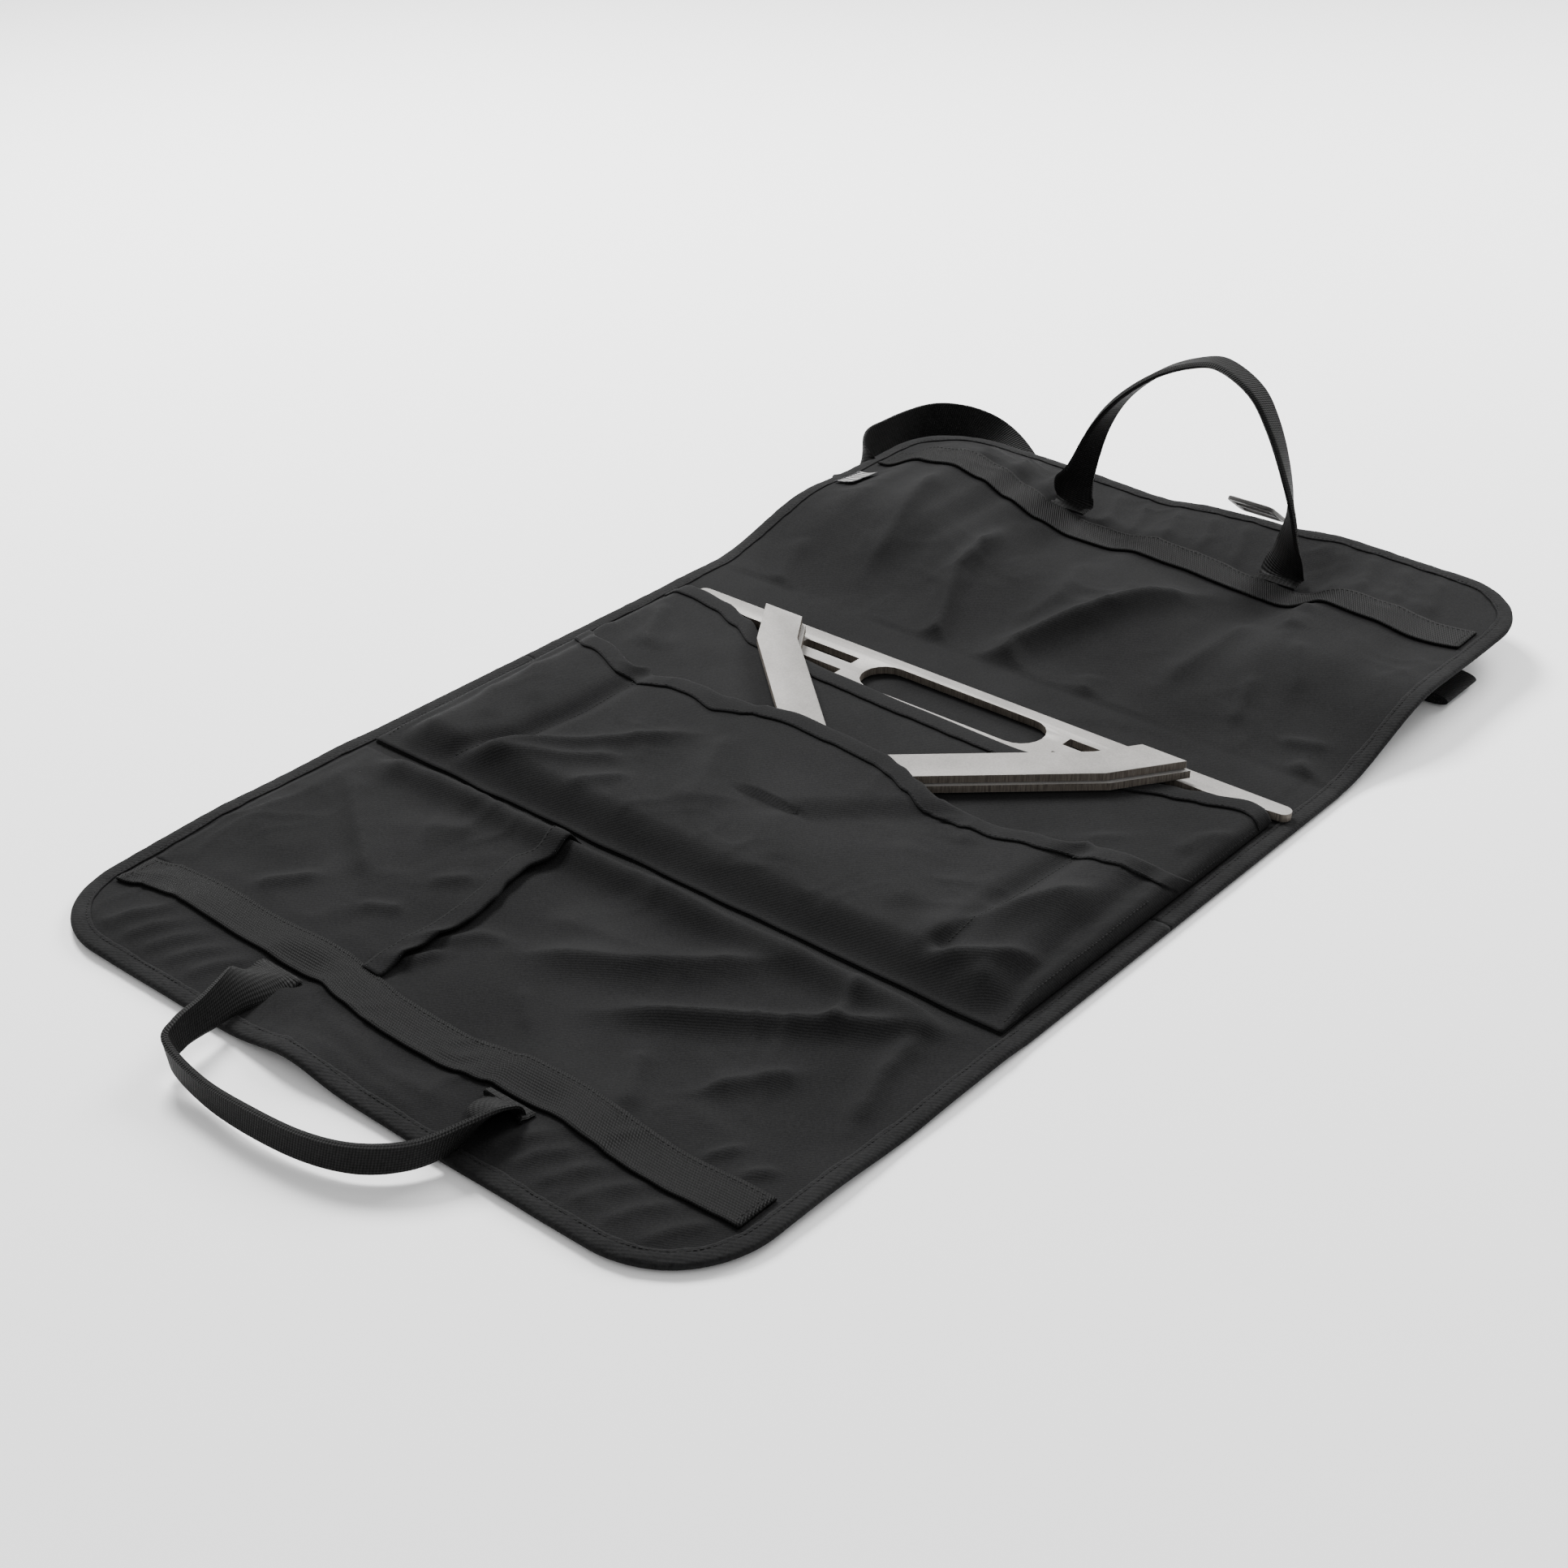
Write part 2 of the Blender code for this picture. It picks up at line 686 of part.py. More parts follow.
def build_strap():
    """Strap sewn under the far panel, one loop of it standing outside the far left corner."""
    strap(
        "strap_left",
        (
            (-80, 335, 20.8, 0, 1, 0),
            (-112, 335, 20.8, 0, 1, 0),
            (-140, 335, 17, 0, 1, 0),
            (-180, 334, 6, 0, 1, 0),
            (-222, 335, 3, 0, 1, 0),
            (-250, 346, 8, 0, 0.9, 0.3),
            (-263, 366, 19.4, 0, 0.4, 0.9),
            (-263, 392, 20.2, -0.2, 0, 0.97),
            (-260, 414, 20.2, -0.25, 0.1, 0.96),
            (-251, 435, 20.2, -0.2, 0.2, 0.96),
            (-234, 448, 20.2, 0, 0.25, 0.97),
            (-212, 451, 19.6, 0.05, 0.3, 0.95),
            (-192, 447, 15.8, 0.2, 0.6, 0.75),
            (-172, 436, 9, 0.35, 0.85, 0.35),
            (-148, 420, 5, 0.3, 0.95, 0.05),
            (-110, 408, 5, 0.05, 1, 0),
            (-60, 402, 5, 0, 1, 0),
            (-10, 402, 5, 0, 1, 0),
        ),
        56,
    )
    strap(
        "strap_right",
        (
            (slider_x / MM, 465, 10, 1, 0, 0),
            (slider_x / MM, 457, 5, 1, 0, 0),
            (slider_x / MM, 446, 2, 1, 0, 0),
            (slider_x / MM + 1, 430, 1.2, 1, 0, 0),
            (slider_x / MM + 7, 404, 1.2, 0.85, 0.4, 0),
            (60, 378, 1.2, 0.5, 0.85, 0),
            (100, 362, 1.2, 0.35, 0.93, 0),
            (150, 345, 1.2, 0.15, 1, 0),
            (195, 338, 1.5, 0, 1, 0),
            (232, 337, 1.8, 0, 1, 0),
            (241, 337, 4.6, 0, 1, 0),
            (232, 337, 7.4, 0, 1, 0),
            (195, 336, 8.5, 0, 1, 0),
            (160, 335, 13, 0, 1, 0),
            (130, 335, 19.5, 0, 1, 0),
            (112, 335, 20.8, 0, 1, 0),
            (80, 335, 20.8, 0, 1, 0),
        ),
        46,
    )
    for name, x in (("strap_anchor_left", -92 * MM), ("strap_anchor_right", 92 * MM)):
        top = rise - layer_gap - strap_thickness - layer_gap
        low = (x - anchor_size[0] / 2, strap_y - anchor_size[1] / 2, top - anchor_size[2])
        high = (x + anchor_size[0] / 2, strap_y + anchor_size[1] / 2, top)
        block(name, low, high, webbing())


def build_slider():
    """Two-slot slider leaning down outside the far edge."""
    width, length, thickness = slider_size
    radius = 5 * MM
    half_x, half_y = width / 2 - radius, length / 2 - radius
    outline = arc((half_x, half_y), radius, 0, 90, 4) + arc((-half_x, half_y), radius, 90, 180, 4)
    outline += arc((-half_x, -half_y), radius, 180, 270, 4)
    outline += arc((half_x, -half_y), radius, 270, 360, 4)
    slot_x = width / 2 - slider_bar
    slot_high = length / 2 - slider_bar
    slot_low = slider_bar / 2
    holes = []
    for side in (-1, 1):
        low, high = side * slot_low, side * slot_high
        holes.append([(-slot_x, low), (slot_x, low), (slot_x, high), (-slot_x, high)])
    made = plate("strap_slider", [outline, *holes], 0, thickness, hardware())
    made.rotation_euler.x = slider_tilt
    made.location = (slider_x, far_edge + slider_out, slider_height)


def main():
    for old in list(bpy.data.objects):
        bpy.data.objects.remove(old)
    build_near_panel()
    build_near_handle()
    build_pocket_panel()
    build_pockets()
    build_hand_plate()
    build_brackets()
    build_far_panel()
    build_far_handle()
    build_strap()
    build_slider()


main()
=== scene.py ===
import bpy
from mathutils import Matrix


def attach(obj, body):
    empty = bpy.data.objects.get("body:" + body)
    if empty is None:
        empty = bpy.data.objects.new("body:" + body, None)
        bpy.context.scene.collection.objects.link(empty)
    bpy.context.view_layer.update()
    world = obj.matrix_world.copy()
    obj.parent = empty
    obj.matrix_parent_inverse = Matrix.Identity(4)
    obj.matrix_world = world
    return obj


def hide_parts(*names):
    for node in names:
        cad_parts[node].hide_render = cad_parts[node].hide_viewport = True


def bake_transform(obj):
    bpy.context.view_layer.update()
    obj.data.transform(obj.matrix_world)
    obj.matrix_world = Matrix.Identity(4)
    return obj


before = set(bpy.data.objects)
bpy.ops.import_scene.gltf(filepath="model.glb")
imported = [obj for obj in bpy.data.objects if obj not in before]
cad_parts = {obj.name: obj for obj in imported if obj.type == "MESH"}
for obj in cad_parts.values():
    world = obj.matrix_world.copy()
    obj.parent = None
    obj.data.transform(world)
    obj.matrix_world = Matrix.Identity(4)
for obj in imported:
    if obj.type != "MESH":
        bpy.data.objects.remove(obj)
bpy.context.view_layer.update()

import math

import bpy
from mathutils import Vector, noise

mm = 0.001
nearEdge, farEdge = -376, 439  # along the bag, in mm
halfWidth = 240
cornerRadius = 60


def smooth(value):
    value = min(1, max(0, value))
    return value * value * (3 - 2 * value)


# camera first
eye = {"place": (0.7693, -0.9435, 0.7175), "pitch": 30.5, "yaw": -40.08, "lens": 56.05}
bpy.ops.object.camera_add(location=eye["place"])
camera = bpy.context.object
camera.name = "camera"
camera.data.lens = eye["lens"]
pitch, yaw = math.radians(eye["pitch"]), math.radians(eye["yaw"])
ahead = Vector((math.cos(pitch) * math.sin(yaw), math.cos(pitch) * math.cos(yaw), -math.sin(pitch)))
camera.rotation_euler = ahead.to_track_quat("-Z", "Y").to_euler()
bpy.context.scene.camera = camera

print("camera ready")


# shared shader effects

def newGroup(name, inputs, outputs):
    group = bpy.data.node_groups.new(name, "ShaderNodeTree")
    for label, kind, value in inputs:
        socket = group.interface.new_socket(label, in_out="INPUT", socket_type=kind)
        if value is not None:
            socket.default_value = value
    for label, kind in outputs:
        group.interface.new_socket(label, in_out="OUTPUT", socket_type=kind)
    entry = group.nodes.new("NodeGroupInput")
    leave = group.nodes.new("NodeGroupOutput")
    return group, entry, leave


def addNode(tree, kind, **settings):
    node = tree.nodes.new(kind)
    for key, value in settings.items():
        if key in node.inputs:
            node.inputs[key].default_value = value
        else:
            setattr(node, key, value)
    return node


def mathNode(tree, operation, first, second=None):
    node = tree.nodes.new("ShaderNodeMath")
    node.operation = operation
    for index, value in enumerate((first, second)):
        if value is None:
            continue
        if isinstance(value, (int, float)):
            node.inputs[index].default_value = value
        else:
            tree.links.new(value, node.inputs[index])
    return node.outputs[0]


def makeTwill():
    group, entry, leave = newGroup(
        "twillWeave",
        [("Vector", "NodeSocketVector", None), ("Threads", "NodeSocketFloat", 1500.0)],
        [("Height", "NodeSocketFloat"), ("Shade", "NodeSocketFloat")],
    )
    links = group.links
    turned = addNode(group, "ShaderNodeMapping")
    turned.inputs["Rotation"].default_value = (0, 0, math.radians(58))
    links.new(entry.outputs["Vector"], turned.inputs["Vector"])
    rib = addNode(group, "ShaderNodeTexWave", Distortion=2.5, Detail=2.0)
    rib.inputs["Detail Scale"].default_value = 6
    links.new(turned.outputs["Vector"], rib.inputs["Vector"])
    links.new(mathNode(group, "MULTIPLY", entry.outputs["Threads"], 0.16), rib.inputs["Scale"])
    speckle = addNode(group, "ShaderNodeTexNoise", Detail=3.0, Roughness=0.7)
    links.new(entry.outputs["Vector"], speckle.inputs["Vector"])
    links.new(mathNode(group, "MULTIPLY", entry.outputs["Threads"], 0.55), speckle.inputs["Scale"])
    height = mathNode(
        group, "ADD", mathNode(group, "MULTIPLY", rib.outputs["Fac"], 0.45), speckle.outputs["Fac"],
    )
    links.new(height, leave.inputs["Height"])
    cloud = addNode(group, "ShaderNodeTexNoise", Scale=9.0, Detail=4.0, Roughness=0.6)
    links.new(entry.outputs["Vector"], cloud.inputs["Vector"])
    clouds = mathNode(group, "MULTIPLY", cloud.outputs["Fac"], 0.5)
    shade = mathNode(group, "ADD", clouds, mathNode(group, "MULTIPLY", speckle.outputs["Fac"], 0.5))
    links.new(shade, leave.inputs["Shade"])
    return group


def makeLint():
    group, entry, leave = newGroup(
        "lintSpecks",
        [
            ("Vector", "NodeSocketVector", None), ("Spread", "NodeSocketFloat", 60.0),
            ("Size", "NodeSocketFloat", 0.05),
        ],
        [("Mask", "NodeSocketFloat")],
    )
    links = group.links
    cells = addNode(group, "ShaderNodeTexVoronoi")
    links.new(entry.outputs["Vector"], cells.inputs["Vector"])
    links.new(entry.outputs["Spread"], cells.inputs["Scale"])
    near = mathNode(group, "LESS_THAN", cells.outputs["Distance"], entry.outputs["Size"])
    split = addNode(group, "ShaderNodeSeparateColor")
    links.new(cells.outputs["Color"], split.inputs[0])
    rare = mathNode(group, "GREATER_THAN", split.outputs[0], 0.9)
    links.new(mathNode(group, "MULTIPLY", near, rare), leave.inputs["Mask"])
    return group


def makeRib():
    group, entry, leave = newGroup(
        "webbingRib",
        [
            ("Vector", "NodeSocketVector", None), ("Pitch", "NodeSocketFloat", 1.3),
            ("Slant", "NodeSocketFloat", 0.35),
        ],
        [("Height", "NodeSocketFloat"), ("Shade", "NodeSocketFloat")],
    )
    links = group.links
    parts = addNode(group, "ShaderNodeSeparateXYZ")
    links.new(entry.outputs["Vector"], parts.inputs[0])
    # the ribs run across the webbing and lean with its twill
    lean = mathNode(group, "MULTIPLY", parts.outputs["Y"], entry.outputs["Slant"])
    along = mathNode(
        group, "DIVIDE", mathNode(group, "ADD", parts.outputs["X"], lean), entry.outputs["Pitch"],
    )
    across = mathNode(group, "DIVIDE", parts.outputs["Y"], entry.outputs["Pitch"])
    ribs = mathNode(group, "SINE", mathNode(group, "MULTIPLY", along, 2 * math.pi))
    cords = mathNode(group, "SINE", mathNode(group, "MULTIPLY", across, 2 * math.pi))
    weave = mathNode(
        group, "ADD", mathNode(group, "MULTIPLY", ribs, 0.35), mathNode(group, "MULTIPLY", cords, 0.15),
    )
    height = mathNode(group, "ADD", weave, 0.5)
    links.new(height, leave.inputs["Height"])
    fuzz = addNode(group, "ShaderNodeTexNoise", Scale=0.35, Detail=4.0, Roughness=0.7)
    links.new(entry.outputs["Vector"], fuzz.inputs["Vector"])
    links.new(mathNode(group, "MULTIPLY", height, fuzz.outputs["Fac"]), leave.inputs["Shade"])
    return group


twill, lint, rib = makeTwill(), makeLint(), makeRib()


def startMaterial(name, roughness, metallic=0.0):
    made = bpy.data.materials.new(name)
    made.use_nodes = True
    tree = made.node_tree
    shader = tree.nodes["Principled BSDF"]
    shader.inputs["Roughness"].default_value = roughness
    shader.inputs["Metallic"].default_value = metallic
    return made, tree, shader


def useGroup(tree, group, vector, **values):
    node = tree.nodes.new("ShaderNodeGroup")
    node.node_tree = group
    tree.links.new(vector, node.inputs["Vector"])
    for key, value in values.items():
        node.inputs[key].default_value = value
    return node


def colourBetween(tree, factor, dark, light, low=0.0, high=1.0):
    ramp = tree.nodes.new("ShaderNodeValToRGB")
    ramp.color_ramp.elements[0].position = low
    ramp.color_ramp.elements[1].position = high
    ramp.color_ramp.elements[0].color = (*dark, 1)
    ramp.color_ramp.elements[1].color = (*light, 1)
    tree.links.new(factor, ramp.inputs[0])
    return ramp.outputs[0]


def bumpInto(tree, shader, height, strength, distance):
    bump = addNode(tree, "ShaderNodeBump", Strength=strength, Distance=distance)
    tree.links.new(height, bump.inputs["Height"])
    tree.links.new(bump.outputs["Normal"], shader.inputs["Normal"])


# what all the cloths share; each has its own colours and threads
clothSet = {"roughness": 0.88, "spread": 45.0, "lint": (0.09, 0.09, 0.09, 1), "low": 0.32, "high": 0.68,
            "sheen": 0.012, "sheenRoughness": 0.5, "specular": 0.07, "bump": 0.55}


def clothMaterial(name, dark, light, threads=1500.0, lintSize=0.009, depth=0.00025):
    made, tree, shader = startMaterial(name, clothSet["roughness"])
    place = addNode(tree, "ShaderNodeTexCoord").outputs["Object"]
    weave = useGroup(tree, twill, place, Threads=threads)
    specks = useGroup(tree, lint, place, Spread=clothSet["spread"], Size=lintSize)
    cloth = colourBetween(tree, weave.outputs["Shade"], dark, light, clothSet["low"], clothSet["high"])
    mix = addNode(tree, "ShaderNodeMix", data_type="RGBA")
    tree.links.new(specks.outputs["Mask"], mix.inputs["Factor"])
    tree.links.new(cloth, mix.inputs["A"])
    mix.inputs["B"].default_value = clothSet["lint"]
    tree.links.new(mix.outputs["Result"], shader.inputs["Base Color"])
    shader.inputs["Sheen Weight"].default_value = clothSet["sheen"]
    shader.inputs["Sheen Roughness"].default_value = clothSet["sheenRoughness"]
    shader.inputs["Specular IOR Level"].default_value = clothSet["specular"]
    bumpInto(tree, shader, weave.outputs["Height"], clothSet["bump"], depth)
    return made


webbingSet = {"roughness": 0.62, "low": 0.1, "high": 0.55, "sheen": 0.005, "specular": 0.08,
              "bump": 0.9, "depth": 0.0005}


def webbingMaterial(name, dark, light, pitch, slant):
    made, tree, shader = startMaterial(name, webbingSet["roughness"])
    place = addNode(tree, "ShaderNodeUVMap", uv_map="UVMap").outputs["UV"]
    weave = useGroup(tree, rib, place, Pitch=pitch, Slant=slant)
    colour = colourBetween(tree, weave.outputs["Shade"], dark, light, webbingSet["low"], webbingSet["high"])
    tree.links.new(colour, shader.inputs["Base Color"])
    shader.inputs["Sheen Weight"].default_value = webbingSet["sheen"]
    shader.inputs["Specular IOR Level"].default_value = webbingSet["specular"]
    bumpInto(tree, shader, weave.outputs["Height"], webbingSet["bump"], webbingSet["depth"])
    return made


def steelMaterial(name, dark, light, roughness, grain):
    made, tree, shader = startMaterial(name, roughness, 0.55)
    place = addNode(tree, "ShaderNodeTexCoord").outputs["Object"]
    blast = addNode(tree, "ShaderNodeTexNoise", Scale=grain, Detail=4.0, Roughness=0.65)
    tree.links.new(place, blast.inputs["Vector"])
    cloud = addNode(tree, "ShaderNodeTexNoise", Scale=22.0, Detail=5.0, Roughness=0.6)
    tree.links.new(place, cloud.inputs["Vector"])
    fine = mathNode(tree, "MULTIPLY", blast.outputs["Fac"], 0.45)
    both = mathNode(tree, "ADD", fine, mathNode(tree, "MULTIPLY", cloud.outputs["Fac"], 0.55))
    tree.links.new(colourBetween(tree, both, dark, light, 0.36, 0.64), shader.inputs["Base Color"])
    bumpInto(tree, shader, blast.outputs["Fac"], 0.25, 0.0002)
    return made


def cutEdgeMaterial():
    made, tree, shader = startMaterial("laserCutEdge", 0.6, 0.35)
    place = addNode(tree, "ShaderNodeTexCoord").outputs["Object"]
    stretch = addNode(tree, "ShaderNodeMapping")
    stretch.inputs["Scale"].default_value = (1, 1, 0.06)  # striations stand upright on the edge
    tree.links.new(place, stretch.inputs["Vector"])
    lines = addNode(tree, "ShaderNodeTexNoise", Scale=1400.0, Detail=3.0, Roughness=0.6)
    tree.links.new(stretch.outputs["Vector"], lines.inputs["Vector"])
    colour = colourBetween(tree, lines.outputs["Fac"], (0.055, 0.046, 0.038), (0.16, 0.14, 0.118), 0.3, 0.7)
    tree.links.new(colour, shader.inputs["Base Color"])
    bumpInto(tree, shader, lines.outputs["Fac"], 0.6, 0.0003)
    return made


# the woven label: its size and place, and its stripes inside a plain border, in mm
labelSet = {"left": -228, "low": 297, "wide": 17.5, "tall": 27, "thick": 0.5,
            "stripe": 3.2, "middle": 8.5, "stripeHalf": 6.4}


def labelMaterial():
    made, tree, shader = startMaterial("stripedLabel", 0.8)
    place = addNode(tree, "ShaderNodeUVMap", uv_map="UVMap").outputs["UV"]
    parts = addNode(tree, "ShaderNodeSeparateXYZ")
    tree.links.new(place, parts.inputs[0])
    turns = mathNode(tree, "MULTIPLY", parts.outputs["Y"], 2 * math.pi / labelSet["stripe"])
    wave = mathNode(tree, "SINE", turns)
    stripes = colourBetween(tree, wave, (0.012, 0.012, 0.013), (0.42, 0.41, 0.4), 0.6, 0.75)
    side = mathNode(tree, "SUBTRACT", parts.outputs["X"], labelSet["middle"])
    fromMiddle = mathNode(tree, "ABSOLUTE", side)
    border = mathNode(tree, "GREATER_THAN", fromMiddle, labelSet["stripeHalf"])
    mix = addNode(tree, "ShaderNodeMix", data_type="RGBA")
    tree.links.new(border, mix.inputs["Factor"])
    tree.links.new(stripes, mix.inputs["A"])
    mix.inputs["B"].default_value = (0.02, 0.02, 0.022, 1)
    tree.links.new(mix.outputs["Result"], shader.inputs["Base Color"])
    threads = useGroup(tree, rib, place, Pitch=0.5, Slant=0.0)
    bumpInto(tree, shader, threads.outputs["Height"], 0.6, 0.0002)
    return made


canvas = clothMaterial("blackCanvas", (0.0022, 0.0022, 0.0023), (0.0112, 0.0112, 0.0114))
pocketCloth = clothMaterial("pocketCanvas", (0.0026, 0.0026, 0.0027), (0.0115, 0.0115, 0.0117), 1400.0)
tape = clothMaterial("bindingTape", (0.0036, 0.0036, 0.0037), (0.0135, 0.0135, 0.0137), 900.0, 0.008, 0.0004)
shellCloth = clothMaterial("outerCanvas", (0.004, 0.004, 0.0042), (0.011, 0.011, 0.0112), 1300.0, 0.008)
webbing = webbingMaterial("bandWebbing", (0.0009, 0.0009, 0.0009), (0.006, 0.006, 0.0059), 1.6, 0.6)
gripWebbing = webbingMaterial("handleWebbing", (0.0025, 0.0025, 0.0025), (0.013, 0.013, 0.0128), 1.5, 0.25)
thread = clothMaterial("blackThread", (0.008, 0.008, 0.008), (0.022, 0.022, 0.022), 4000.0, 0.0)
steel = steelMaterial("blastedSteel", (0.16, 0.154, 0.146), (0.255, 0.246, 0.234), 0.6, 900.0)
hardware = steelMaterial("gunmetal", (0.022, 0.021, 0.02), (0.05, 0.048, 0.046), 0.45, 700.0)
cutEdge = cutEdgeMaterial()
stripedLabel = labelMaterial()

print("materials ready")


# how the cloth lies: ridges follow short routes, and each is (points, half width, height)

farFolds = [
    ([(-162, 335), (-152, 290), (-142, 250), (-138, 215)], 11, 4.5),
    ([(-93, 325), (-88, 270), (-86, 250), (-68, 215), (-43, 158)], 8, 6.5),
    ([(64, 322), (36, 285), (11, 240), (-4, 200), (4, 158)], 13, 9),
    ([(106, 312), (103, 255), (98, 215)], 11, 4),
    ([(146, 292), (174, 242)], 6, 2.2),
    ([(140, 250), (154, 202)], 6, 2.2),
    ([(206, 195), (222, 168)], 6, 3),
    ([(185, 205), (214, 212)], 5, 2),
    ([(-200, 232), (-178, 170)], 12, 2.6),
    ([(-28, 325), (-12, 262), (-18, 215)], 9, 2.4),
    ([(52, 205), (70, 165)], 10, 3),
    ([(128, 345), (122, 325), (136, 300)], 8, 4),
]
nearFolds = [
    ([(-208, -172), (-158, -210), (-104, -250)], 8, 5),
    ([(-158, -287), (-136, -255)], 7, 3.5),
    ([(-98, -264), (-76, -252)], 7, 3.5),
    ([(-86, -224), (-68, -206)], 6, 2.5),
    ([(-6, -240), (48, -212), (112, -158)], 13, 7),
    ([(62, -250), (145, -198), (208, -150)], 9, 7),
    ([(102, -255), (117, -280), (132, -300)], 7, 4),
    ([(146, -264), (174, -222)], 8, 4.5),
    ([(198, -160), (204, -200), (218, -240)], 7, 5),
    ([(152, -150), (162, -188)], 6, 4.5),
    ([(-50, -268), (-30, -238), (-12, -234)], 6, 3),
    ([(-44, -286), (-32, -262)], 5, 3.5),
    ([(20, -258), (48, -282)], 4, 2),
    ([(180, -298), (190, -282)], 4, 3),
    ([(202, -298), (214, -286)], 4, 3),
    ([(-20, -205), (30, -198), (70, -188)], 16, 3),
    ([(-130, -190), (-100, -175)], 14, 3),
]
flapRipples = [
    ([(x + 18, -330), (x + 6, -345), (x, -362)], 5, 3)
    for x in (-196, -176, -158, -140, -122, 98, 116, 134, 154, 176, 198)
]
flapRipples += [([(-40, -338), (20, -350), (66, -346)], 7, 2.5), ([(-30, -356), (60, -362)], 5, 1.5)]
endRipples = [
    ([(x + 9, 374), (x + 4, 392), (x - 8, 426)], 5, 2.6)
    for x in (-165, -136, -112, -62, -40, -14, 14, 40, 64, 112, 134, 158, 182)
]
nearSwells = [(-165, 36, 3.5), (-85, 26, 2.5), (104, 34, 3)]
pocketFolds = [
    ([(-166, -120), (-118, -82), (-66, -26)], 8, 5.5),
    ([(-164, -123), (-110, -96), (-80, -70)], 7, 4),
    ([(-54, -14), (-38, -50), (-14, -95)], 15, 5),
    ([(44, 6), (54, -26)], 7, 4),
    ([(-88, -114), (-66, -86)], 7, 3.5),
    ([(158, -118), (168, -84), (192, -36), (204, -12)], 12, 8),
    ([(164, -122), (196, -100), (222, -74)], 7, 5.5),
    ([(94, -38), (140, -98)], 14, 4),
    ([(-222, -8), (-166, -62)], 8, 2.6),
    ([(-216, -50), (-176, -92)], 8, 2.2),
    ([(20, -60), (60, -108)], 13, 3),
    ([(106, 10), (122, -26)], 8, 2.5),
]
innerFolds = [
    ([(-176, 112), (-151, 70), (-136, 42)], 9, 5.5),
    ([(-212, 102), (-175, 45)], 9, 3.5),
    ([(-224, 62), (-196, 12)], 8, 2.5),
    ([(150, 78), (142, 30)], 8, 4.5),
    ([(192, 106), (172, 60), (162, 34)], 8, 4),
    ([(218, 100), (208, 52)], 7, 3),
]


def ridge(x, y, points, width, height):
    best = 1e9
    share = 0
    lengths = [math.dist(a, b) for a, b in zip(points, points[1:])]
    total, run = sum(lengths), 0
    for (ax, ay), (bx, by), length in zip(points, points[1:], lengths):
        t = ((x - ax) * (bx - ax) + (y - ay) * (by - ay)) / (length * length)
        t = min(1, max(0, t))
        gap = math.hypot(x - ax - t * (bx - ax), y - ay - t * (by - ay))
        if gap < best:
            best = gap
            share = (run + t * length) / total
        run += length
    if best > 3.2 * width:
        return 0
    fade = smooth(share / 0.22) * smooth((1 - share) / 0.22) * 0.75 + 0.25
    return height * fade * (0.5 * math.exp(-((best / width) ** 2)) + 0.5 * math.exp(-best / (0.62 * width)))


def ridges(x, y, folds):
    return sum(ridge(x, y, *fold) for fold in folds)


def crumple(x, y, size, amount, seed=0):
    place = Vector((x / size, y / size, seed))
    return amount * noise.noise(place)


def creases(x, y):
    # narrow slack lines that wander across the cloth
    bend = noise.noise(Vector((x / 70, y / 70, 31))) * 34
    first = abs(noise.noise(Vector(((x + bend) / 30, (y - bend) / 46, 32))))
    second = abs(noise.noise(Vector(((x - bend) / 44, (y + bend) / 20, 33))))
    lines = 0.9 * math.exp(-((first / 0.1) ** 2)) + 0.5 * math.exp(-((second / 0.12) ** 2))
    return lines * smooth(noise.noise(Vector((x / 60, y / 60, 34))) * 2 + 0.2)


def rimDistance(x, y):
    ax, side = abs(x), halfWidth
    corner = max(0, max(y - (farEdge - cornerRadius), (nearEdge + cornerRadius) - y))
    if corner and ax > side - cornerRadius:
        return cornerRadius - math.hypot(ax - (side - cornerRadius), corner)
    return min(side - ax, y - nearEdge, farEdge - y)


def between(x, table):
    # eases from each (x, value) pair of a table to the next
    if x <= table[0][0]:
        return table[0][1]
    for (ax, av), (bx, bv) in zip(table, table[1:]):
        if x <= bx:
            return av + (bv - av) * smooth((x - ax) / (bx - ax))
    return table[-1][1]


# the far panel lies over the folded strap, high at the left and low in the middle
farRelief = [
    (-240, -2), (-222, 0), (-187, 12), (-159, 15.5), (-137, 11.5), (-114, 3), (-88, -5), (-61, -10),
    (-32, -10.5), (-6, -6), (27, -6), (71, -10.5), (100, -11.5), (138, 1.5), (167, 1), (197, -2), (240, 1),
]
farEdgeRelief = [(-240, -3), (-177, -4), (-50, -7), (0, -3), (50, -1), (100, 3), (240, 2)]


riseSet = {"foot": 178, "run": 112, "high": 22, "edgeFrom": 375, "edgeRun": 62}


def farRise(x, y):
    up = smooth((y - riseSet["foot"]) / riseSet["run"])
    towardEdge = smooth((y - riseSet["edgeFrom"]) / riseSet["edgeRun"])
    relief = between(x, farRelief) * (1 - towardEdge) + between(x, farEdgeRelief) * towardEdge
    return up * (riseSet["high"] + relief * (0.35 + 0.65 * smooth((y - 210) / 120)))


crestSet = {"y": -152, "nearHalf": 11, "foldHalf": 7, "high": 10}
plateStrip = {"low": 100, "high": 205, "lift": 0.9, "edgeLift": 0.1, "edge": 215}


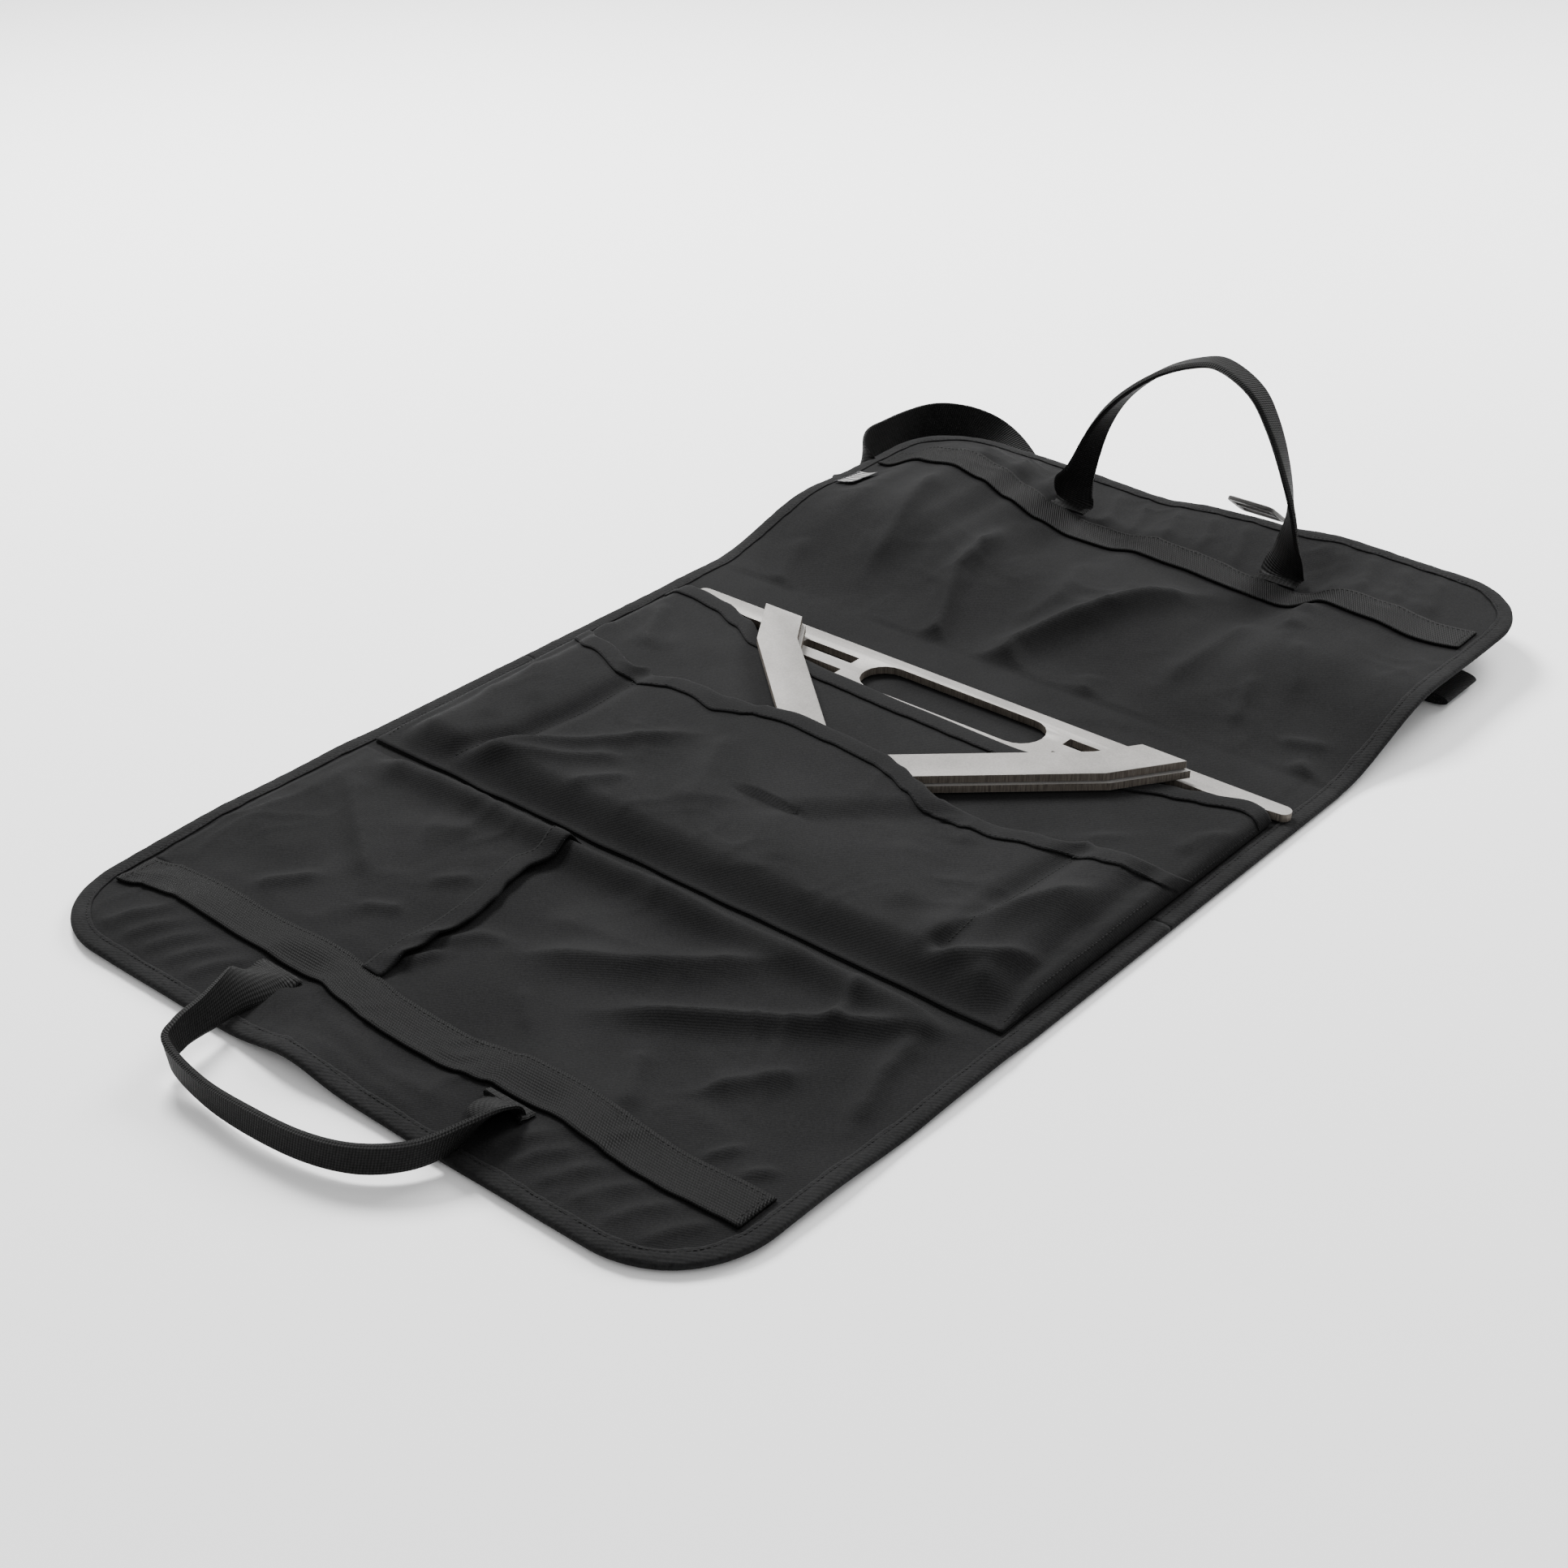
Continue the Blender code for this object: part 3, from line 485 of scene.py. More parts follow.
def clothLift(x, y):
    lift = 0
    if y > 100:
        lift += farRise(x, y) + 1.3 * ridges(x, y, farFolds) + ridges(x, y, endRipples)
    elif y < -100:
        lift += 1.2 * ridges(x, y, nearFolds) + 0.8 * ridges(x, y, flapRipples)
        # the middle of the near edge is turned up a little
        lift += 6 * math.exp(-(((x + 22) / 28) ** 2) - ((y + 372) / 24) ** 2)
        for at, wide, high in nearSwells:
            lift += high * math.exp(-(((x - at) / wide) ** 2) - ((y + 310) / 26) ** 2)
        # the cloth stands up in a crest beside the near fold
        fromCrest = y - crestSet["y"]
        crestHalf = crestSet["nearHalf"] if fromCrest < 0 else crestSet["foldHalf"]
        crest = math.exp(-((fromCrest / crestHalf) ** 2))
        lift += (crestSet["high"] + crumple(x, y, 60, 3, 7)) * crest * smooth((210 - abs(x)) / 30)
    lift += (crumple(x, y, 60, 1.8, 1) + creases(x, y)) * smooth((rimDistance(x, y) + 4) / 24)
    lift += crumple(x, y, 70, 2.0, 3) + 1.0
    # flat over the middle, which the pockets cover
    quiet = 1 if abs(y) > 150 else smooth((abs(y) - 125) / 25)
    # flat under the ends of the near handle, which turns there
    quiet *= 1 - 0.92 * math.exp(-(((abs(x) - 83) / 22) ** 4) - ((y + 322) / 15) ** 2)
    if plateStrip["low"] < y < plateStrip["high"]:
        # the hand plate slides out over this strip
        most = plateStrip["edgeLift"] if x > plateStrip["edge"] else plateStrip["lift"]
        lift = min(lift, most + 30 * smooth((y - 179) / 26))
    return max(0, lift) * quiet


liftCache = {}


def cachedLift(x, y):
    key = (round(x, 1), round(y, 1))
    if key not in liftCache:
        liftCache[key] = clothLift(*key)
    return liftCache[key]


def narrow(x, y):
    # the near end is drawn in a little, and more on its left side
    if x < 0:
        return x * (1 - 0.026 * smooth((-150 - y) / 180))
    return x * (1 - 0.008 * smooth((-200 - y) / 150))


def clearSelection():
    for old in bpy.context.selected_objects:
        old.select_set(False)


def layGrid(name, columns, rows, place, thickness, size, material):
    # a grid whose points are moved one by one, then thickened downwards; size, in mm, scales the weave
    clearSelection()
    bpy.ops.mesh.primitive_grid_add(x_subdivisions=columns, y_subdivisions=rows, size=1, calc_uvs=True)
    made = bpy.context.object
    made.name = made.data.name = name
    mesh = made.data
    shares = [(v.co.x + 0.5, v.co.y + 0.5) for v in mesh.vertices]
    layer = mesh.uv_layers.active
    layer.name = "UVMap"
    for loop in mesh.loops:
        u, v = shares[loop.vertex_index]
        layer.data[loop.index].uv = (u * size[0], v * size[1])
    for vert, (u, v) in zip(mesh.vertices, shares):
        vert.co = Vector(place(u, v)) * mm
    wall = made.modifiers.new("wall", "SOLIDIFY")
    wall.thickness = thickness * mm
    wall.offset = -1
    bpy.ops.object.modifier_apply(modifier=wall.name)
    bpy.ops.object.shade_smooth()
    mesh.materials.append(material)
    return made


panelSet = {"inset": 1.4, "columns": 160, "rowStep": 2.9, "cornerRows": 26,
            "liningTop": 3.8, "liningThick": 1.0, "shellTop": 2.5, "shellThick": 1.1}


def rowPlaces(edge):
    # distances along the bag at which an end panel's rows lie, with half the width there
    out = 1 if edge > 0 else -1
    inset = panelSet["inset"]
    radius = cornerRadius - inset
    straightEnd = edge - out * cornerRadius
    count = round(abs(straightEnd) / panelSet["rowStep"])
    rows = [(straightEnd * i / count, halfWidth - inset) for i in range(count)]
    turns = panelSet["cornerRows"]
    for i in range(turns + 1):
        angle = math.pi / 2 * i / turns
        half = halfWidth - inset - radius * (1 - math.cos(angle))
        rows.append((straightEnd + out * radius * math.sin(angle), half))
    return rows


def layPanel(name, edge, level, thickness, material):
    rows = rowPlaces(edge)
    if edge < 0:
        rows.reverse()

    def place(u, v):
        index = min(len(rows) - 1, round(v * (len(rows) - 1)))
        y, half = rows[index]
        x = (u * 2 - 1) * half
        return narrow(x, y), y, level + cachedLift(x, y)

    size = (halfWidth * 2, abs(edge))
    return layGrid(name, panelSet["columns"], len(rows) - 1, place, thickness, size, material)


nearLining = layPanel("nearLining", nearEdge, panelSet["liningTop"], panelSet["liningThick"], canvas)
farLining = layPanel("farLining", farEdge, panelSet["liningTop"], panelSet["liningThick"], canvas)
nearShell = layPanel("nearShell", nearEdge, panelSet["shellTop"], panelSet["shellThick"], shellCloth)
farShell = layPanel("farShell", farEdge, panelSet["shellTop"], panelSet["shellThick"], shellCloth)
print("panels laid")


# small helpers for edges and stitches

def joinAll(name, parts):
    clearSelection()
    for part in parts:
        part.select_set(True)
    bpy.context.view_layer.objects.active = parts[0]
    bpy.ops.object.join()
    parts[0].name = parts[0].data.name = name
    return parts[0]


def makeStitch():
    clearSelection()
    bpy.ops.mesh.primitive_uv_sphere_add(segments=6, ring_count=4, radius=1)
    made = bpy.context.object
    made.name = "stitchModel"
    bpy.ops.object.shade_smooth()
    made.data.materials.append(thread)
    return made


stitchModel = makeStitch()


def stitches(name, routes, pitch=3.2, size=(1.15, 0.32, 0.28)):
    # each route is a list of points in mm; the stitches lie end to end along it
    parts = []
    for points in routes:
        lengths = [math.dist(a, b) for a, b in zip(points, points[1:])]
        total = sum(lengths)
        index, run = 0, 0
        for step in range(int(total / pitch)):
            at = (step + 0.5) * pitch
            while index < len(lengths) - 1 and run + lengths[index] < at:
                run += lengths[index]
                index += 1
            a, b = Vector(points[index]), Vector(points[index + 1])
            along = (b - a).normalized()
            centre = a.lerp(b, (at - run) / max(1e-6, lengths[index]))
            mesh = stitchModel.data.copy()
            turn = along.to_track_quat("X", "Z").to_matrix()
            for vert in mesh.vertices:
                local = Vector((vert.co.x * size[0], vert.co.y * size[1], vert.co.z * size[2]))
                vert.co = (turn @ local + centre) * mm
            part = bpy.data.objects.new(name, mesh)
            bpy.context.collection.objects.link(part)
            parts.append(part)
    return joinAll(name, parts)


# binding tape wraps the rim of each end and of the middle
bindingSet = {"width": 10.5, "wave": 1.3, "ripple": 0.35, "thick": 0.7, "top": 4.75, "under": 0.45,
              "tapeWide": 26, "stitchIn": 1.9, "stitchDrop": 0.12, "pitch": 3.0}
plateTip = {"x": 200, "low": 110, "high": 182}  # the hand plate slides out over the binding here


def rimRoute(edge, inset):
    # points round one end from the left side at the middle to the right side, with the way inwards
    out = 1 if edge > 0 else -1
    radius = cornerRadius
    straightEnd = edge - out * radius
    places = []
    steps = round(abs(straightEnd) / 3)
    for i in range(steps):
        places.append((-halfWidth, straightEnd * i / steps, 1, 0))
    for i in range(28):
        angle = math.pi / 2 * i / 28
        across, along = math.cos(angle), out * math.sin(angle)
        places.append((-halfWidth + radius - radius * across, straightEnd + radius * along, across, -along))
    steps = round(2 * (halfWidth - radius) / 3)
    for i in range(steps):
        places.append((-halfWidth + radius + 2 * (halfWidth - radius) * i / steps, edge, 0, -out))
    places.append((halfWidth - radius, edge, 0, -out))
    right = [(-x, y, -nx, ny) for x, y, nx, ny in reversed(places[: -steps - 1])]
    return [(x + nx * inset, y + ny * inset, nx, ny) for x, y, nx, ny in places + right]


def tapeSection(width):
    # (distance in from the rim, height) from the top inner edge, round the fold, to the one beneath
    middle = (bindingSet["top"] + bindingSet["under"]) / 2
    radius = (bindingSet["top"] - bindingSet["under"]) / 2
    inFlat = [width, width * 0.9, width * 0.8, width * 0.66, width * 0.5, width * 0.36]
    dips = [-0.15, 0.0, -0.22, 0.1, 0.25, 0.15]
    section = [(d, bindingSet["top"] + dip) for d, dip in zip(inFlat, dips)]
    for i in range(7):
        angle = math.pi / 2 - math.pi * i / 6
        section.append((radius - radius * math.cos(angle), middle + radius * math.sin(angle)))
    section += [(width * 0.5, bindingSet["under"]), (width, bindingSet["under"])]
    return section


def bind(name, edge):
    route = rimRoute(edge, 0)
    rows = len(tapeSection(bindingSet["width"]))

    def place(u, v):
        x, y, nx, ny = route[min(len(route) - 1, round(u * (len(route) - 1)))]
        width = bindingSet["width"] + bindingSet["wave"] * noise.noise(Vector((x / 22, y / 22, 4)))
        width += 0.5 * noise.noise(Vector((x / 6, y / 6, 9)))
        d, z = tapeSection(width)[round((1 - v) * (rows - 1)) if edge < 0 else round(v * (rows - 1))]
        px, py = x + nx * d, y + ny * d
        underPlate = px > plateTip["x"] and plateTip["low"] < py < plateTip["high"]
        ripple = 0 if underPlate else bindingSet["ripple"] * noise.noise(Vector((px / 7, py / 7, 2)))
        return narrow(px, py), py, z + ripple * (1 if z > 2.6 else 0) + cachedLift(px, py)

    length = sum(math.dist(a[:2], b[:2]) for a, b in zip(route, route[1:]))
    size = (length, bindingSet["tapeWide"])
    made = layGrid(name, len(route) - 1, rows - 1, place, bindingSet["thick"], size, tape)
    threads = []
    for x, y, nx, ny in route:
        d = bindingSet["width"] - bindingSet["stitchIn"]
        px, py = x + nx * d, y + ny * d
        threads.append((narrow(px, py), py, bindingSet["top"] - bindingSet["stitchDrop"] + cachedLift(px, py)))
    return made, stitches(name + "Stitches", [threads], bindingSet["pitch"])


nearBinding, nearBindingStitches = bind("nearBinding", nearEdge)
farBinding, farBindingStitches = bind("farBinding", farEdge)
print("bindings made")


# webbing bands across both ends, each along its own middle line
bandSet = {"half": 226, "width": 26, "thick": 1.5, "low": 4.15, "lip": 0.5, "stitchOut": 0.42, "pitch": 3.4}
nearBandMiddle = [
    (-226, -314), (-200, -309), (-150, -309), (-102, -309), (-66, -309), (-40, -313), (-17, -316),
    (33, -316), (58, -313), (66, -310), (102, -310), (133, -313), (183, -315), (226, -314),
]
farBandMiddle = [(-226, 357), (-120, 358), (-40, 359), (60, 358), (130, 358), (226, 358)]


def band(name, middle):
    width = bandSet["width"]

    def place(u, v):
        x = (u * 2 - 1) * bandSet["half"]
        y = between(x, middle) + (v - 0.5) * (width + 0.8 * noise.noise(Vector((x / 18, v, 6))))
        lip = bandSet["lip"] * (1 - smooth(v / 0.14))  # the lower edge stands off a little
        return narrow(x, y), y, bandSet["low"] + bandSet["thick"] + lip + cachedLift(x, y)

    def onTop(x, y):
        return narrow(x, y), y, bandSet["low"] + bandSet["thick"] + 0.05 + cachedLift(x, y)

    made = layGrid(name, 150, 12, place, bandSet["thick"], (bandSet["half"] * 2, width), webbing)
    routes = []
    for side in (-bandSet["stitchOut"], bandSet["stitchOut"]):
        line = []
        for i in range(151):
            x = (i / 75 - 1) * (bandSet["half"] - 2)
            y = between(x, middle) + side * width
            line.append(onTop(x, y))
        routes.append(line)
    for end in (-1, 1):
        x = end * (bandSet["half"] - 4)
        ys = [between(x, middle) + width * (k / 10 - 0.4) for k in range(9)]
        routes.append([onTop(x, y) for y in ys])
    return made, stitches(name + "Stitches", routes, bandSet["pitch"])


nearBand, nearBandStitches = band("nearBand", nearBandMiddle)
farBand, farBandStitches = band("farBand", farBandMiddle)


# pocket on the near panel, open towards the right
sideSet = {"low": -300, "long": 157, "left": -226.5, "base": 3.8 + 1.35, "puff": 1.8, "thick": 0.8,
           "hem": 12.5, "hemHigh": 1.25, "hemThick": 0.9}
sideMouth = [
    (-300, -41), (-280, -42), (-253, -42), (-233, -43), (-213, -46), (-197, -51), (-179, -54), (-163, -49),
    (-143, -50),
]


def sidePocketTop(x, y):
    room = min(x + 226, y + 300, -142 - y)
    mouth = between(y, sideMouth)
    puff = sideSet["puff"] * smooth(room / 16) + 0.8 * smooth((x - mouth + 60) / 55) * smooth(room / 16)
    return sideSet["base"] + puff + crumple(x, y, 20, 0.7, 5) * smooth(room / 12) + cachedLift(x, y)


def sidePocketPlace(u, v):
    y = sideSet["low"] + sideSet["long"] * v
    left = sideSet["left"]
    x = left + (between(y, sideMouth) - left) * u
    return narrow(x, y), y, sidePocketTop(x, y)


def sideHemPlace(u, v):
    y = sideSet["low"] + sideSet["long"] * v
    mouth = between(y, sideMouth)
    inner = mouth - sideSet["hem"] + 0.9 * noise.noise(Vector((y / 16, 0, 3)))
    x = inner + (mouth + 0.4 - inner) * u
    swell = 0.35 * math.sin(math.pi * u) - 0.5 * smooth((u - 0.85) / 0.15)
    return narrow(x, y), y, sidePocketTop(min(x, mouth), y) + sideSet["hemHigh"] + swell


sidePocket = layGrid(
    "sidePocket", 64, 54, sidePocketPlace, sideSet["thick"], (177, sideSet["long"]), pocketCloth,
)
sideHem = layGrid(
    "sidePocketHem", 8, 60, sideHemPlace, sideSet["hemThick"], (13, sideSet["long"]), pocketCloth,
)
hemLine = []
for i in range(53):
    y = -299 + 3 * i
    x = between(y, sideMouth) - 11.2
    hemLine.append((narrow(x, y), y, sidePocketTop(x, y) + 1.35))
sideHemStitches = stitches("sidePocketStitches", [hemLine])
print("bands and side pocket made")


# inner and outer pockets over the middle; a floor keeps the cloth above the brackets beneath
pocketSide, pocketLow = 227.5, -135
pocketSet = {"thick": 0.8, "innerEdge": 4.9, "innerHigh": 11.4, "outerEdge": 5.9, "outerHigh": 19.3,
             "upperFloor": 24.2, "lowerFloor": 19.1, "overBrackets": 5.2, "mouthHigh": 20, "mouthLean": 1.39}
hemSet = {"inner": 13, "outer": 13.5, "high": 1.2, "thick": 0.9, "stitchIn": 1.6, "stitchHigh": 1.3}
innerMouth = [
    (-227, 131), (-205, 131), (-180, 127), (-155, 118), (-129, 105), (-100, 99), (-65, 96), (0, 93),
    (72, 91), (110, 95), (145, 104), (174, 114), (190, 120), (212, 127), (227, 124),
]
outerMouth = [
    (-225, 28), (-193, 25), (-150, 11), (-143, 9), (-117, 19), (-100, 20), (-60, 21), (-53, 26), (-32, 30),
    (1, 28), (35, 25), (51, 20), (68, 13), (83, 7), (107, 2), (123, 2), (150, 10), (171, 15), (187, 22),
    (197, 24), (225, 22),
]
leftPartition = [(-148, 10), (-146, -40), (-150, -90), (-174, -126)]
rightPartition = [(171, 15), (170, -40), (170, -106)]


def bracketReach(y, slid):
    # half the width covered at y by a crossed bracket that has slid that far along the bag
    return max(0, (y - slid + 31) * 1.116 + 6) if y - slid > -33 else -30


def innerTop(x, y):
    # the plate beneath fills nearly the whole width, so the cloth stays above it
    side = smooth((pocketSide + 1 - abs(x)) / 13) if x < 0 else smooth((pocketSide + 1 - x) / 6)
    low = smooth((y - pocketLow) / 45)
    calm = smooth((abs(x - 13) - bracketReach(y, -50) - 2) / 14)
    folds = ridges(x, y, innerFolds) + abs(crumple(x, y, 40, 1.4, 11)) + 0.8 * creases(x, y + 500)
    full = pocketSet["innerHigh"] + folds * calm
    return pocketSet["innerEdge"] + (full - pocketSet["innerEdge"]) * min(side, low)


def partitionDip(x, y):
    near = 1e9
    for route in (leftPartition, rightPartition):
        for (ax, ay), (bx, by) in zip(route, route[1:]):
            length = math.dist((ax, ay), (bx, by))
            t = min(1, max(0, ((x - ax) * (bx - ax) + (y - ay) * (by - ay)) / length ** 2))
            near = min(near, math.hypot(x - ax - t * (bx - ax), y - ay - t * (by - ay)))
    return math.exp(-((near / 7.5) ** 2))


def outerTop(x, y):
    side = smooth((pocketSide + 1 - abs(x)) / 30)
    low = smooth((y - pocketLow) / 26)
    overBrackets = smooth((bracketReach(y, -25) + 30 - abs(x - 13)) / 30) * smooth((y + 86) / 28)
    high = pocketSet["outerHigh"] + pocketSet["overBrackets"] * overBrackets
    folds = ridges(x, y, pocketFolds) + crumple(x, y, 50, 1.8, 21) + creases(x + 300, y)
    high += folds * (1 - 0.75 * overBrackets) - 5.5 * partitionDip(x, y)
    # the mouth sags a little between what holds it up
    high -= 2.2 * math.exp(-(((x - 105) / 30) ** 2) - ((y - 2) / 26) ** 2)
    floor = 0
    if abs(x - 12) < bracketReach(y, -25):
        floor = pocketSet["upperFloor"]
    elif abs(x - 15) < bracketReach(y, -50):
        floor = pocketSet["lowerFloor"]
    edge = pocketSet["outerEdge"]
    return max(floor, innerTop(x, y) + 1.5, edge + (high - edge) * side * low)


def mouthAt(x, mouth, top, leans):
    # where a pocket ends at x; a mouth that leans lies further back where the cloth is lower
    end = between(x, mouth)
    if leans:
        end -= pocketSet["mouthLean"] * (top(x, end) - pocketSet["mouthHigh"])
    return end


def pocketPlace(mouth, top, leans):
    def place(u, v):
        x = (u * 2 - 1) * pocketSide
        start = pocketLow + 1.5 * noise.noise(Vector((x / 30, 0, 8)))
        end = mouthAt(x, mouth, top, leans)
        y = start + (end - start) * v
        return x, y, top(x, y)

    return place


def hemPlace(mouth, top, width, leans):
    def place(u, v):
        x = (u * 2 - 1) * pocketSide
        end = mouthAt(x, mouth, top, leans)
        wide = width + 0.9 * noise.noise(Vector((x / 14, 0, 7)))
        y = end - wide + (wide + 0.4) * v
        swell = 0.3 * math.sin(math.pi * v) - 0.5 * smooth((v - 0.85) / 0.15)
        return x, y, top(x, min(y, end)) + hemSet["high"] + swell

    return place


place = pocketPlace(innerMouth, innerTop, False)
innerPocket = layGrid("innerPocket", 150, 84, place, pocketSet["thick"], (455, 240), pocketCloth)
place = pocketPlace(outerMouth, outerTop, True)
outerPocket = layGrid("outerPocket", 168, 62, place, pocketSet["thick"], (455, 155), pocketCloth)
place = hemPlace(innerMouth, innerTop, hemSet["inner"], False)
innerHem = layGrid("innerPocketHem", 150, 8, place, hemSet["thick"], (455, 13), pocketCloth)
place = hemPlace(outerMouth, outerTop, hemSet["outer"], True)
outerHem = layGrid("outerPocketHem", 168, 8, place, hemSet["thick"], (455, 14), pocketCloth)


def hemStitches(name, mouth, top, width, leans, extra=()):
    # a line of stitches along a mouth's hem, and along any extra routes down the pocket
    high = hemSet["stitchHigh"]
    line = []
    for i in range(151):
        x = (i / 75 - 1) * (pocketSide - 3)
        y = mouthAt(x, mouth, top, leans) - width + hemSet["stitchIn"]
        line.append((x, y, top(x, y) + high))
    routes = [line]
    for route in extra:
        points = []
        for (ax, ay), (bx, by) in zip(route, route[1:]):
            for k in range(20):
                x, y = ax + (bx - ax) * k / 20, ay + (by - ay) * k / 20
                overHem = k < 4 and ay == route[0][1]
                points.append((x, y, top(x, y) + (high if overHem else 0.1)))
        routes.append(points)
    return stitches(name, routes)


def sideSeam(top, x, lowY, highY):
    ys = [lowY + (highY - lowY) * k / 50 for k in range(51)]
    return [(x, y, top(x, y) + 0.1) for y in ys]


innerStitches = hemStitches("innerPocketStitches", innerMouth, innerTop, hemSet["inner"], False)
partitions = [leftPartition, rightPartition]
outerStitches = hemStitches(
    "outerPocketStitches", outerMouth, outerTop, hemSet["outer"], True, partitions,
)
seamStitches = stitches(
    "sideSeamStitches",
    [
        sideSeam(outerTop, -224, -128, 8), sideSeam(outerTop, 224, -128, 4),
        sideSeam(innerTop, -225, 32, 118), sideSeam(innerTop, 226, 28, 108),
    ],
)
print("pockets made")


# steel plates, brackets and slider, with softened and darker cut edges

def plateCopy(node, name, soft, face, edge):
    clearSelection()
    source = bpy.data.objects[node]
    mesh = source.data.copy()
    made = bpy.data.objects.new(name, mesh)
    bpy.context.collection.objects.link(made)
    mesh.transform(source.matrix_world)
    made.select_set(True)
    bpy.context.view_layer.objects.active = made
    mesh.materials.clear()
    mesh.materials.append(face)
    mesh.materials.append(edge)
    bpy.ops.object.mode_set(mode="EDIT")
    bpy.ops.mesh.select_all(action="SELECT")
    bpy.ops.mesh.remove_doubles(threshold=0.00001)
    bpy.ops.mesh.dissolve_limited(angle_limit=math.radians(1))
    bpy.ops.mesh.normals_make_consistent(inside=False)
    bpy.ops.object.mode_set(mode="OBJECT")
    # the two broad faces stay bright and the thin sides are dark
    up = max(mesh.polygons, key=lambda polygon: polygon.area).normal.copy()
    for polygon in mesh.polygons:
        polygon.material_index = 0 if abs(polygon.normal.dot(up)) > 0.7 else 1
    rounding = made.modifiers.new("rounding", "BEVEL")
    rounding.width = soft * mm
    rounding.segments = 2
    rounding.limit_method = "ANGLE"
    rounding.angle_limit = math.radians(40)
    rounding.material = 0
    rounding.harden_normals = True
    bpy.ops.object.modifier_apply(modifier=rounding.name)
    bpy.ops.object.shade_smooth_by_angle(angle=math.radians(30))
    return made


handPlate = plateCopy("hand_plate", "handPlate", 0.25, steel, cutEdge)
lowerBracket = plateCopy("lower_bracket", "lowerBracket", 0.25, steel, cutEdge)
upperBracket = plateCopy("upper_bracket", "upperBracket", 0.25, steel, cutEdge)
slider = plateCopy("strap_slider", "strapSlider", 0.8, hardware, hardware)
print("plates made")


# handles, the loose strap and its ends are webbing swept along a route

def along(stations, share):
    # smooth curve through the stations
    last = len(stations) - 1
    place = share * last
    index = min(int(place), last - 1)
    t = place - index
    p = [stations[min(last, max(0, index + k))] for k in (-1, 0, 1, 2)]
    out = []
    for a, b, c, d in zip(*p):
        square, cube = 2 * a - 5 * b + 4 * c - d, 3 * b - a - 3 * c + d
        out.append(0.5 * (2 * b + (c - a) * t + square * t * t + cube * t * t * t))
    return out


def sweepWebbing(name, stations, steps, section, finish):
    # section(share, width, thick) gives the (across, up) outline, closed round the webbing
    clearSelection()
    places = [along(stations, i / steps) for i in range(steps + 1)]
    rings = []
    run = 0
    for i, place in enumerate(places):
        centre = Vector(place[:3])
        before, after = Vector(places[max(0, i - 1)][:3]), Vector(places[min(steps, i + 1)][:3])
        forward = (after - before).normalized()
        side = Vector(place[3:6])
        side = (side - forward * side.dot(forward)).normalized()
        up = forward.cross(side)
        if i:
            run += (centre - Vector(places[i - 1][:3])).length
        outline = section(i / steps, place[6], place[7])
        rings.append((run, [centre + side * a + up * b for a, b in outline], outline))
    count = len(rings[0][1])
    bpy.ops.mesh.primitive_grid_add(x_subdivisions=steps, y_subdivisions=count, size=1, calc_uvs=True)
    made = bpy.context.object
    made.name = made.data.name = name
    mesh = made.data
    layer = mesh.uv_layers.active
    layer.name = "UVMap"
    spots = [(round((v.co.x + 0.5) * steps), round((v.co.y + 0.5) * count)) for v in mesh.vertices]
    girth = [0]
    outline = rings[len(rings) // 2][2]
    for a, b in zip(outline, outline[1:] + outline[:1]):
        girth.append(girth[-1] + math.dist(a, b))
    for loop in mesh.loops:
        i, j = spots[loop.vertex_index]
        layer.data[loop.index].uv = (rings[i][0], girth[j])
    for vert, (i, j) in zip(mesh.vertices, spots):
        vert.co = rings[i][1][j % count] * mm
    bpy.ops.object.mode_set(mode="EDIT")
    bpy.ops.mesh.select_all(action="SELECT")
    bpy.ops.mesh.remove_doubles(threshold=0.000002)
    bpy.ops.mesh.select_all(action="DESELECT")
    bpy.ops.mesh.select_non_manifold()
    bpy.ops.mesh.fill_holes(sides=0)
    bpy.ops.mesh.select_all(action="SELECT")
    bpy.ops.mesh.normals_make_consistent(inside=False)
    bpy.ops.object.mode_set(mode="OBJECT")
    bpy.ops.object.shade_smooth()
    bpy.ops.object.shade_smooth_by_angle(angle=math.radians(55))
    mesh.materials.append(finish)
    return made


def flatSection(share, width, thick):
    half, high = width / 2, thick / 2
    top = [(half * k / 4, high) for k in range(4, -5, -1)]
    return [(half + 0.4 * high, 0)] + top + [(-half - 0.4 * high, 0)] + [(a, -b) for a, b in reversed(top)]


def gripSection(share, width, thick):
    # flat where it is sewn down, and folded double round the grip
    base = 0.09
    fold = smooth((share - base) / 0.12) * smooth((1 - base - share) / 0.12)
    half, high = width / 2, thick / 2
    points = []
    for k in range(4, -5, -1):
        a = half * k / 4
        opening = smooth((share - 0.045) / 0.08) * smooth((0.955 - share) / 0.08)
        cup = (abs(k) / 4) ** 2 * (1 - fold) * opening * half * 0.4
        points.append((a, high + cup, cup))
    top = [(a, b) for a, b, c in points]
    under = [(a, -high + c) for a, b, c in reversed(points)]
    rightRim = (half + 0.7, (top[0][1] + under[-1][1]) / 2)
    # the folded edge is fuller than the other
    leftRim = (-half - 0.7 - 0.28 * fold * thick, (top[-1][1] + under[0][1]) / 2)
    return [rightRim, *top, leftRim, *under]


def handleRows(rows, x, y, z):
    return [(a + x, b + y, c + z, *rest) for a, b, c, *rest in rows]


